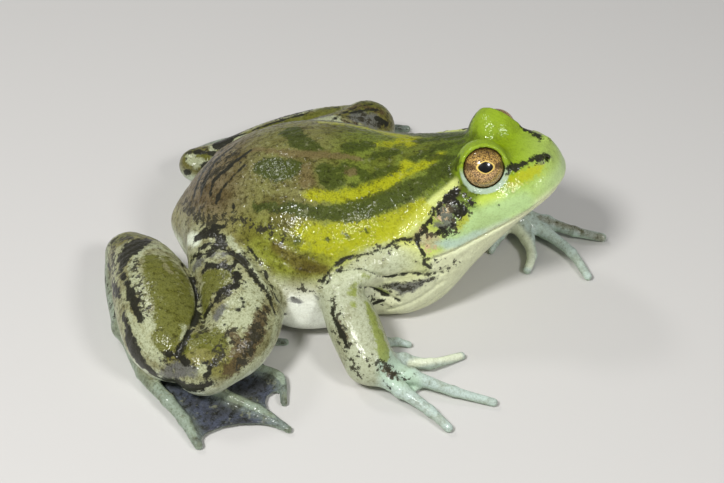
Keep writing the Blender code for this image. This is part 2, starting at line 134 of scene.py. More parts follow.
KNEES = {"right": (-37, -58.8, 10.8, 8.0), "left": (-1.2, 49.3, 13.2, 8.4)}

FINGERS = {
    "finger_1_right": (
        (9, -45, 5.0, 2.7), (11.5, -38.8, 3.2, 1.5), (15, -36.7, 1.9, 1.15), (18.4, -36.4, 0.8, 0.95),
    ),
    "finger_2_right": (
        (11, -48.5, 5.6, 3.1), (17.5, -45.8, 3.7, 1.95), (25, -44.9, 2.2, 1.5), (33.6, -39.8, 0.9, 1.15),
    ),
    "finger_3_right": (
        (11.5, -50.5, 5.6, 3.1), (20.2, -51.7, 3.7, 2.0), (32, -54.8, 2.0, 1.4), (43.2, -57, 0.9, 1.15),
    ),
    "finger_4_right": (
        (10.5, -52.5, 5.4, 3.1), (17.5, -57.2, 3.7, 2.0), (25.8, -62.6, 2.0, 1.45),
        (31.2, -67.6, 1.0, 1.25),
    ),
    "finger_1_left": (
        (46, 16.5, 5.0, 2.7), (43.6, 12, 3.2, 1.6), (42.2, 9.4, 2.1, 1.3), (41, 6.4, 0.8, 1.0),
    ),
    "finger_2_left": (
        (48, 16, 5.4, 3.0), (52, 10, 3.4, 1.9), (53.4, 4, 2.1, 1.45), (52.1, -1.6, 0.9, 1.2),
    ),
    "finger_3_left": (
        (49.5, 16.7, 5.4, 3.0), (57.5, 13.6, 3.6, 1.9), (65.4, 6.4, 2.1, 1.45), (70.3, -2.8, 1.0, 1.25),
    ),
    "finger_4_left": (
        (49.5, 18, 5.2, 3.0), (57.8, 18.3, 3.6, 1.95), (66.5, 16.3, 2.2, 1.55), (75.2, 15.4, 1.1, 1.35),
    ),
}

TOES = {
    "right": (
        ((-63.5, -36, 4.0, 2.6), (-52, -34, 2.4, 1.7), (-42, -32, 1.7, 1.4), (-33, -29.5, 0.8, 1.0)),
        ((-63.5, -37.5, 4.0, 2.9), (-46, -39, 2.5, 1.7), (-30, -39.5, 1.8, 1.4), (-17, -38.5, 0.8, 1.0)),
        (
            (-63.5, -39, 4.0, 3.1), (-44, -46.5, 2.8, 1.9), (-24, -50.8, 2.3, 1.35),
            (-16.6, -53.6, 1.8, 1.15), (-14.5, -62, 0.8, 1.0),
        ),
        (
            (-63.5, -40.5, 4.0, 3.1), (-50, -52.5, 3.1, 2.2), (-33.2, -61, 2.7, 1.55),
            (-21.4, -66.2, 1.9, 1.3), (-12, -71.8, 0.8, 1.0),
        ),
        (
            (-62.5, -40, 4.0, 3.1), (-54.5, -56.5, 3.3, 2.2), (-46, -66, 2.9, 1.8),
            (-40.5, -72.2, 2.2, 1.6), (-35.4, -79.6, 1.0, 1.25),
        ),
    ),
    "left": (
        ((-36, 47.5, 4.0, 2.6), (-29, 44, 2.5, 1.7), (-22, 41.5, 1.8, 1.4), (-15, 39, 0.8, 1.0)),
        ((-35.5, 49, 4.0, 2.9), (-24, 47.5, 2.6, 1.8), (-13, 46.5, 1.9, 1.4), (-3.5, 45, 0.8, 1.0)),
        ((-35, 50.5, 4.0, 3.1), (-22, 52.5, 2.8, 1.9), (-6, 54, 2.1, 1.4), (9, 54, 0.8, 1.0)),
        ((-35, 52, 4.0, 3.1), (-20, 58.5, 3.0, 2.0), (-4, 63.5, 2.2, 1.5), (11.2, 66.5, 0.9, 1.15)),
        ((-36, 53, 4.0, 3.1), (-26, 63, 3.1, 2.0), (-16, 70, 2.3, 1.6), (-6, 75.5, 0.9, 1.1)),
    ),
}
WEB_HALF_THICKNESS = 0.55
WEB_LEVEL = 1.1
WEB_REACH = (0.78, 0.84, 0.9, 0.98)  # how far along its toes each web grows, from the innermost outwards
HAND_WEB_REACH = 0.42
WEB_BOW = 0.08  # of the free edge, towards the root
WEB_STEPS = 6

HEIGHTS = {"thigh": 0.88, "shank": 0.9}  # of a limb's section, over its width
BLENDS = {  # how far each part blends into what it meets
    "torso": 1.0, "lid": 3.0, "lid_rim": 0.8, "nostril": 1.6,
    "upper_arm": 3.0, "forearm": 1.6, "hand": 2.4, "finger": 1.4, "joint": 0.8,
    "thigh": 3.2, "knee": 4.0, "shank": 1.0, "tarsus": 1.2, "foot": 1.6,
}


# ---- Signed distance shapes: negative inside

class Canvas:
    """A regular grid of points, and windows of it."""

    def __init__(self, low, high, step):
        self.low = np.array(low, float)
        self.step = step
        self.shape = tuple(int(n) for n in np.ceil((np.array(high) - self.low) / step))
        self.field = np.full(self.shape, FAR, np.float32)

    def window(self, low, high, margin=WINDOW_MARGIN):
        """(slices, x, y, z) of the grid points in a box, as arrays that broadcast."""
        first = np.floor((np.array(low) - margin - self.low) / self.step).astype(int)
        last = np.ceil((np.array(high) + margin - self.low) / self.step).astype(int)
        first = np.clip(first, 0, self.shape)
        last = np.clip(last, 0, self.shape)
        slices = tuple(slice(a, b) for a, b in zip(first, last))
        axes = [start + self.step * np.arange(a, b) for start, a, b in zip(self.low, first, last)]
        axes = [axis.astype(np.float32) for axis in axes]
        return slices, *np.meshgrid(*axes, indexing="ij", sparse=True)

    def blend(self, slices, distance, reach):
        self.field[slices] = smooth_min(self.field[slices], distance, reach)

    def carve(self, slices, distance, reach):
        """Takes a shape away, with an edge rounded over this reach."""
        self.field[slices] = -smooth_min(-self.field[slices], distance, reach)


def smooth_min(a, b, reach):
    overlap = np.maximum(reach - np.abs(a - b), 0.0) / reach
    return np.minimum(a, b) - overlap * overlap * reach * 0.25


def smooth_step(t):
    """From 0 to 1 as t does, level at both ends."""
    t = np.clip(t, 0.0, 1.0)
    return t * t * (3 - 2 * t)


def ramp(value, start, end):
    """From 0 where a value is at its start to 1 where it is at its end, level at both."""
    return smooth_step((value - start) / (end - start))


def spline(rows, per_span):
    """Points of a Catmull-Rom curve through the rows, whatever the number of columns."""
    rows = np.array(rows, float)
    padded = np.vstack([2 * rows[0] - rows[1], rows, 2 * rows[-1] - rows[-2]])
    points = []
    for before, start, end, after in zip(padded, padded[1:], padded[2:], padded[3:]):
        for step in range(per_span):
            t = step / per_span
            points.append(0.5 * (2 * start + (end - before) * t
                                 + (2 * before - 5 * start + 4 * end - after) * t * t
                                 + (3 * start - before - 3 * end + after) * t ** 3))
    points.append(rows[-1])
    return np.array(points)


def smooth_table(rows, at):
    """Every column after the first of a table, read at `at` on a smooth curve through its rows."""
    rows = np.array(rows, float)
    slopes = np.gradient(rows[:, 1:], rows[:, 0], axis=0)
    at = np.clip(at, rows[0, 0], rows[-1, 0])
    i = np.clip(np.searchsorted(rows[:, 0], at, side="right") - 1, 0, len(rows) - 2)
    span = rows[i + 1, 0] - rows[i, 0]
    t = (at - rows[i, 0]) / span
    weights = (
        (1 + 2 * t) * (1 - t) ** 2,
        t * (1 - t) ** 2 * span,
        t * t * (3 - 2 * t),
        t * t * (t - 1) * span,
    )
    ends = (rows[i, 1:], slopes[i], rows[i + 1, 1:], slopes[i + 1])
    return sum(weight[..., None] * end for weight, end in zip(weights, ends))


def capsule(start, end, x, y, z, height=1.0):
    """Distance to a round segment from start to end, each x, y, z and radius."""
    along = end[:3] - start[:3]
    dx, dy, dz = x - start[0], y - start[1], z - start[2]
    t = np.clip((dx * along[0] + dy * along[1] + dz * along[2]) / max(along @ along, 1e-9), 0.0, 1.0)
    across = (dx - t * along[0]) ** 2 + (dy - t * along[1]) ** 2 + ((dz - t * along[2]) / height) ** 2
    return np.sqrt(across) - (start[3] + t * (end[3] - start[3]))


def chain(canvas, rows, height=1.0, per_span=5):
    """(slices, distance) of a limb along a smooth curve. Its section is round, or an oval this high."""
    points = spline(rows, per_span)
    reach = points[:, 3].max()
    slices, x, y, z = canvas.window(points[:, :3].min(0) - reach, points[:, :3].max(0) + reach)
    distance = np.full([s.stop - s.start for s in slices], FAR, np.float32)
    for start, end in zip(points, points[1:]):
        ends = np.array([start, end])
        size = ends[:, 3].max()
        part, px, py, pz = canvas.window(ends[:, :3].min(0) - size, ends[:, :3].max(0) + size)
        inner = tuple(slice(p.start - s.start, p.stop - s.start) for p, s in zip(part, slices))
        np.minimum(distance[inner], capsule(start, end, px, py, pz, height), out=distance[inner])
    return slices, distance


def ball(canvas, centre, radius):
    slices, x, y, z = canvas.window(np.array(centre) - radius, np.array(centre) + radius)
    return slices, np.sqrt((x - centre[0]) ** 2 + (y - centre[1]) ** 2 + (z - centre[2]) ** 2) - radius


def ring(canvas, centre, ahead, forward, radius, thickness):
    """A round rim about a line ahead of a centre."""
    low = np.array(centre) - radius - forward
    high = np.array(centre) + radius + forward
    slices, x, y, z = canvas.window(low, high)
    along, aside = along_and_aside(x, y, z, centre, ahead)
    return slices, np.hypot(along - forward, aside - radius) - thickness


def outline_distance(outline, x, y):
    """Distance in the plane from a closed outline, negative inside it."""
    nearest = np.full(np.broadcast_shapes(x.shape, y.shape), FAR ** 2, np.float32)
    inside = np.zeros(nearest.shape, bool)
    for start, end in zip(outline, np.roll(outline, -1, axis=0)):
        along = end - start
        dx, dy = x - start[0], y - start[1]
        t = np.clip((dx * along[0] + dy * along[1]) / (along @ along), 0.0, 1.0)
        np.minimum(nearest, (dx - t * along[0]) ** 2 + (dy - t * along[1]) ** 2, out=nearest)
        if start[1] != end[1]:
            crossing = start[0] + (y - start[1]) * along[0] / along[1]
            inside ^= ((y < start[1]) != (y < end[1])) & (x < crossing)
    return np.where(inside, -1.0, 1.0) * np.sqrt(nearest)


def web(canvas, inner, outer, reach):
    """The skin between two toes, whose free edge bows in between the points where it ends on them."""
    inner_path = spline(inner, WEB_STEPS)[:, :2]
    outer_path = spline(outer, WEB_STEPS)[:, :2]
    inner_path = inner_path[: 2 + int(reach * (len(inner_path) - 2))]
    outer_path = outer_path[: 2 + int(reach * (len(outer_path) - 2))]
    start, end = outer_path[-1], inner_path[-1]
    root = (inner_path[0] + outer_path[0]) / 2
    bow = WEB_BOW * (root - (start + end) / 2)
    edge = [start + (end - start) * t + bow * 4 * t * (1 - t) for t in (0.2, 0.4, 0.6, 0.8)]
    outline = np.vstack([outer_path, edge, inner_path[::-1]])
    low = np.append(outline.min(0), 0.0)
    high = np.append(outline.max(0), 2 * WEB_LEVEL)
    slices, x, y, z = canvas.window(low, high)
    across = outline_distance(outline, x[:, :, 0], y[:, :, 0])[:, :, None]
    return slices, np.maximum(across, np.abs(z - WEB_LEVEL) - WEB_HALF_THICKNESS)


def torso_distance(x, y, z):
    """Distance to the loft from vent to snout, with rounded ends, along a spine that swings a little."""
    table = smooth_table(TORSO, x).astype(np.float32)
    top, level, bottom, half_width, above, below, swing = (table[..., i] for i in range(7))
    roundness = np.where(z > level, above, below)
    half_height = np.where(z > level, top - level, level - bottom)
    side = np.abs(y - swing) / half_width
    rise = np.abs(z - level) / half_height
    nose = np.maximum(0.0, (x - SNOUT_TIP_X + SNOUT_ROUNDING) / SNOUT_ROUNDING)
    tail = np.maximum(0.0, (VENT_X + VENT_ROUNDING - x) / VENT_ROUNDING)
    end = np.maximum(nose, tail)
    end_length = np.where(nose > tail, SNOUT_ROUNDING, VENT_ROUNDING)
    size = (side ** roundness + rise ** roundness + end ** roundness) ** (1 / roundness)
    size = np.maximum(size, 1e-3)
    power = roundness - 1
    slope = np.sqrt((side ** power / half_width) ** 2 + (rise ** power / half_height) ** 2
                    + (end ** power / end_length) ** 2) * size ** -power
    return (size - 1) / slope


def lips(x, z):
    """How far the upper lip stands out, and how deep the slit of the mouth sinks in."""
    rise = z - smooth_table(MOUTH, x)[..., 0]
    fade = ramp(x, MOUTH[0][0], MOUTH[0][0] + MOUTH_FADE)
    lip = LIP_HEIGHT * np.exp(-((rise - LIP_ABOVE_SLIT) / LIP_WIDTH) ** 2)
    slit = MOUTH_DEPTH * np.exp(-(rise / MOUTH_SLIT) ** 2)
    return fade * (lip - slit)


def torso(canvas):
    rows = np.array(TORSO)
    low = (VENT_X, -rows[:, 4].max(), rows[:, 3].min())
    high = (SNOUT_TIP_X, rows[:, 4].max(), rows[:, 1].max())
    slices, x, y, z = canvas.window(low, high)
    return slices, torso_distance(x, y, z) - lips(x, z)


def along_and_aside(x, y, z, centre, ahead):
    """How far points lie ahead of a centre along a direction, and how far off that line."""
    dx, dy, dz = x - centre[0], y - centre[1], z - centre[2]
    forward = dx * ahead[0] + dy * ahead[1] + dz * ahead[2]
    return forward, np.sqrt(np.maximum(dx ** 2 + dy ** 2 + dz ** 2 - forward ** 2, 0.0))


def direction(azimuth, elevation):
    """Unit vector at this azimuth from the nose (left positive) and elevation, in degrees."""
    turn = math.radians(azimuth)
    rise = math.radians(elevation)
    flat = math.cos(rise)
    return np.array((math.cos(turn) * flat, math.sin(turn) * flat, math.sin(rise)))


def box_mm(node):
    """Centre and half its size of a CAD node, in millimetres."""
    low, high = (np.array(corner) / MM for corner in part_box(node))
    return (low + high) / 2, (high - low) / 2


class Eye:
    """Where an eye sits, from its CAD node, and how it looks out."""

    def __init__(self, side):
        self.side = side
        self.centre, half = box_mm(f"eye_{side}")
        self.radius = half.mean()
        self.ahead = direction(*LINE_OF_SIGHT[side])
        level = np.cross((0.0, 0.0, 1.0), self.ahead)
        self.level = level / np.linalg.norm(level)
        self.up = np.cross(self.ahead, self.level)


# ---- The skin's form

LID_OPENING = math.radians(60.0)
LID_FRONT = 0.3  # how far in front of the eye's centre the opening starts, over the eye's radius
EDGE_ROUNDING = 0.5
SOCKET_ROUNDING = 0.2
RIM_BACK = math.radians(5.0)
RIM_OUTSIDE = 0.45  # the middle of the lid's rim, outside the eyeball
RIM_THICKNESS = 0.55
LIP_HEIGHT = 0.35
LIP_ABOVE_SLIT = 1.3
LIP_WIDTH = 1.0
MOUTH_DEPTH = 0.8
MOUTH_SLIT = 0.42
MOUTH_FADE = 6.0
JOINT_SWELLING = 1.06
NOSTRIL = (54.5, -5.0, 46.2)
NOSTRIL_FACING = (0.35, -0.65, 0.67)
NOSTRIL_RADIUS = 0.7
NOSTRIL_REACH = (-0.8, 2.0)  # the ends of the pit, from below the skin outwards
NOSTRIL_MOUND = 1.6
NOSTRIL_MOUND_DEPTH = 1.1


def flesh(canvas, eyes):
    """Draws the whole body into the canvas."""
    canvas.blend(*torso(canvas), BLENDS["torso"])
    for eye in eyes:
        canvas.blend(*ball(canvas, eye.centre, eye.radius + LID_THICKNESS), BLENDS["lid"])
    for name, rows in LIMBS.items():
        limb(canvas, *name.rsplit("_", 1), rows)
    for rows in FINGERS.values():
        finger(canvas, rows)
    for side, toes in TOES.items():
        hand_web(canvas, side)
        foot(canvas, toes)


def limb(canvas, kind, side, rows):
    """One segment of an arm or leg, with the knee at the end of a thigh."""
    canvas.blend(*chain(canvas, rows, HEIGHTS.get(kind, 1.0)), BLENDS[kind])
    if kind == "thigh":
        *centre, radius = KNEES[side]
        canvas.blend(*ball(canvas, centre, radius), BLENDS["knee"])


def finger(canvas, rows):
    canvas.blend(*chain(canvas, rows[:2]), BLENDS["hand"])
    canvas.blend(*chain(canvas, rows[1:]), BLENDS["finger"])
    joints(canvas, rows)


def hand_web(canvas, side):
    """The short web between the two outer fingers of a hand."""
    third, fourth = (FINGERS[f"finger_{n}_{side}"] for n in (3, 4))
    canvas.blend(*web(canvas, third, fourth, HAND_WEB_REACH), BLENDS["foot"])


def foot(canvas, toes):
    """The toes of a foot and the webs between them."""
    for toe in toes:
        canvas.blend(*chain(canvas, toe), BLENDS["foot"])
        joints(canvas, toe)
    for inner, outer, reach in zip(toes, toes[1:], WEB_REACH):
        canvas.blend(*web(canvas, inner, outer, reach), BLENDS["foot"])


def joints(canvas, rows):
    """The swellings at the joints of a finger or toe."""
    for *centre, radius in rows[1:-1]:
        canvas.blend(*ball(canvas, centre, radius * JOINT_SWELLING), BLENDS["joint"])


def open_lids(canvas, eye):
    """Cuts the round opening of the eye and its socket, and gives the opening a rounded rim."""
    size = eye.radius
    slices, x, y, z = canvas.window(eye.centre - size, eye.centre + size)
    forward, aside = along_and_aside(x, y, z, eye.centre, eye.ahead)
    cone = aside * math.cos(LID_OPENING) - forward * math.sin(LID_OPENING)
    opening = np.maximum(cone, LID_FRONT * size - forward)
    canvas.carve(slices, opening, EDGE_ROUNDING)
    rim_at = size + RIM_OUTSIDE
    rim_angle = LID_OPENING + RIM_BACK
    rim = (rim_at * math.cos(rim_angle), rim_at * math.sin(rim_angle), RIM_THICKNESS)
    canvas.blend(*ring(canvas, eye.centre, eye.ahead, *rim), BLENDS["lid_rim"])
    canvas.carve(*ball(canvas, eye.centre, size + EYE_GAP), SOCKET_ROUNDING)


def nostrils(canvas):
    """A raised rim with a pit in it, on each side of the snout."""
    for side in (1, -1):
        centre = mirrored(NOSTRIL, side)
        outward = mirrored(NOSTRIL_FACING, side)
        mound = ball(canvas, centre - NOSTRIL_MOUND_DEPTH * outward, NOSTRIL_MOUND)
        canvas.blend(*mound, BLENDS["nostril"])
        ends = [np.append(centre + reach * outward, NOSTRIL_RADIUS) for reach in NOSTRIL_REACH]
        canvas.carve(*chain(canvas, ends, per_span=2), EDGE_ROUNDING)


def mirrored(point, side):
    """The point itself for side 1, or its mirror image across the body for side -1."""
    return np.array(point, float) * (1, side, 1)


def surface(canvas):
    """Points in millimetres and quads of the canvas's surface, standing on the floor."""
    z = canvas.low[2] + canvas.step * np.arange(canvas.shape[2])
    np.maximum(canvas.field, -z[None, None, :], out=canvas.field)
    grid = openvdb.FloatGrid(GRID_MARGIN)
    grid.copyFromArray(np.clip(canvas.field, -GRID_MARGIN, GRID_MARGIN))
    points, quads = grid.convertToQuads(0.0)
    return points * canvas.step + canvas.low, quads


def skin_mesh(eyes):
    low, high = (np.array(corner) / MM for corner in (cad_low, cad_high))
    canvas = Canvas(low - GRID_MARGIN, high + GRID_MARGIN, GRID_STEP)
    flesh(canvas, eyes)
    for eye in eyes:
        open_lids(canvas, eye)
    nostrils(canvas)
    points, quads = surface(canvas)
    mesh = bpy.data.meshes.new("skin")
    mesh.from_pydata(points * MM, [], quads.tolist())
    mesh.shade_smooth()
    return mesh, points


# ---- Places on the skin

HEAD_TURN = 3.1  # how much further forward the left eye and eardrum lie than the right ones
HEAD_MIDDLE_X = 35.0
HEAD_HALF_LENGTH = 14.0
LIMB_REACH = 2.5  # how far outside a limb its own marks may still lie
TWIN_DRIFT = 0.9  # how far the left side's marks stray from a true mirror image
TWIN_DRIFT_RATE = 0.35
STROKE_MARGIN = 6.0
STROKE_STEPS = 4  # pieces of a stroke's curve from one of its places to the next
SNAP_STRIDE = 3  # a stroke's places are looked up among every third point of the skin
WEB_TOP = 2 * WEB_LEVEL + 0.4
WEB_BEHIND_TOES = 0.3  # so that a toe claims the points that it shares with its web


class Skin:
    """The skin's mesh, its points in millimetres, and where they lie on the body."""

    def __init__(self, mesh, points):
        self.mesh = mesh
        self.points = points
        self.normals = self.read_normals()
        self.parts = part_distances(points)
        self.nearest = np.minimum.reduce(list(self.parts.values()))
        self.twins = self.find_twins()

    def read_normals(self):
        normals = np.empty(len(self.points) * 3, np.float32)
        self.mesh.vertex_normals.foreach_get("vector", normals)
        return normals.reshape(-1, 3).astype(float)

    def keep(self, name, kind, values):
        """Stores a number or a colour for each vertex, under a name that materials can read."""
        attribute = self.mesh.attributes.new(name, kind, "POINT")
        field = "color" if kind == "FLOAT_COLOR" else "value"
        attribute.data.foreach_set(field, values.astype(np.float32).ravel())

    def find_twins(self):
        """Points of the left side moved to where they would lie on the right one."""
        twins = self.points.copy()
        left = twins[:, 1] > 0
        x, y, z = twins[left].T
        spine = smooth_table(TORSO, x)[:, 6]
        turned = HEAD_TURN * np.exp(-((x - HEAD_MIDDLE_X) / HEAD_HALF_LENGTH) ** 2)
        twins[left] = np.column_stack([x - turned, 2 * spine - y, z])
        for limb in ("upper_arm", "forearm", "thigh", "shank", "tarsus"):
            own = self.parts[f"{limb}_left"]
            near = (own < LIMB_REACH) & (own <= self.nearest + 0.01)
            twins[near] = across(self.points[near], LIMBS[f"{limb}_left"], LIMBS[f"{limb}_right"])
        drift = np.sin(self.points[:, [1, 2, 0]] * TWIN_DRIFT_RATE + 1.0)
        twins[left] += TWIN_DRIFT * drift[left]
        return twins

    def snapped(self, rows):
        """The stroke with its points moved onto the skin."""
        rows = np.array(rows, float)
        coarse = self.points[::SNAP_STRIDE]
        for row in rows:
            row[:3] = coarse[((coarse - row[:3]) ** 2).sum(1).argmin()]
        return rows

    def stroke_distance(self, rows, both_sides=False):
        """How far each point of the skin lies outside a stroke."""
        rows = self.snapped(rows)
        distance = points_to_stroke(self.points, rows)
        if both_sides:
            left = self.points[:, 1] > 0
            distance[left] = points_to_stroke(self.twins[left], rows)
        return distance


def points_to_stroke(points, rows, height=1.0):
    """How far points lie outside a stroke along a smooth curve through rows of x, y, z and radius."""
    curve = spline(rows, STROKE_STEPS) if len(rows) > 1 else np.vstack([rows, rows])
    result = np.full(len(points), FAR)
    reach = curve[:, 3].max() + STROKE_MARGIN
    near = ((points > curve[:, :3].min(0) - reach) & (points < curve[:, :3].max(0) + reach)).all(1)
    x, y, z = points[near].T
    distance = np.full(near.sum(), FAR)
    for start, end in zip(curve, curve[1:]):
        np.minimum(distance, capsule(start, end, x, y, z, height), out=distance)
    result[near] = distance
    return result


def part_distances(points):
    """How far each point lies outside the torso, each limb, finger and foot."""
    result = {"torso": torso_distance(*points.T)}
    for name, rows in {**LIMBS, **FINGERS}.items():
        result[name] = points_to_stroke(points, rows, HEIGHTS.get(name.rsplit("_", 1)[0], 1.0))
    for side, toes in TOES.items():
        result[f"toes_{side}"] = np.minimum.reduce([points_to_stroke(points, toe) for toe in toes])
        corners = [toes[0][0], *(toe[-1] for toe in toes), toes[-1][0]]
        flat = outline_distance(np.array(corners)[:, :2], points[:, 0], points[:, 1])
        low = points[:, 2] < WEB_TOP
        result[f"web_{side}"] = np.where(low, np.maximum(flat, 0.0) + WEB_BEHIND_TOES, FAR)
    return result


def limb_frames(rows, steps):
    """Centres, radii and the up and side directions of a limb after these counts of spline steps."""
    curve = spline(rows, STROKE_STEPS)
    index = np.clip(steps.astype(int), 0, len(curve) - 2)
    t = (steps - index)[:, None]
    here = curve[index] * (1 - t) + curve[index + 1] * t
    along = curve[index + 1, :3] - curve[index, :3]
    along /= np.linalg.norm(along, axis=1)[:, None]
    side = np.cross(along, (0.0, 0.0, 1.0))
    side /= np.linalg.norm(side, axis=1)[:, None]
    return here[:, :3], here[:, 3:], np.cross(side, along), side


def steps_along(points, rows):
    """How far along a limb each point lies, as a count of spline steps."""
    curve = spline(rows, STROKE_STEPS)
    nearest = np.full(len(points), FAR)
    steps = np.zeros(len(points))
    for index, (start, end) in enumerate(zip(curve, curve[1:])):
        span = end[:3] - start[:3]
        t = np.clip((points - start[:3]) @ span / (span @ span), 0.0, 1.0)
        gap = np.linalg.norm(points - start[:3] - t[:, None] * span, axis=1)
        gap -= start[3] + t * (end[3] - start[3])
        closer = gap < nearest
        nearest[closer] = gap[closer]
        steps[closer] = index + t[closer]
    return steps


def across(points, rows, twin_rows):
    """Where points of a limb lie on its mirrored twin."""
    steps = steps_along(points, rows)
    centre, radius, up, side = limb_frames(rows, steps)
    twin_steps = steps * (len(twin_rows) - 1) / (len(rows) - 1)
    twin_centre, twin_radius, twin_up, twin_side = limb_frames(twin_rows, twin_steps)
    offset = (points - centre) / radius
    rise = (offset * up).sum(1)[:, None]
    swing = (offset * side).sum(1)[:, None]
    return twin_centre + twin_radius * (rise * twin_up - swing * twin_side)


# ---- Markings

# Each mark is a stroke over the skin: x, y, z and half-width at a few places, in millimetres

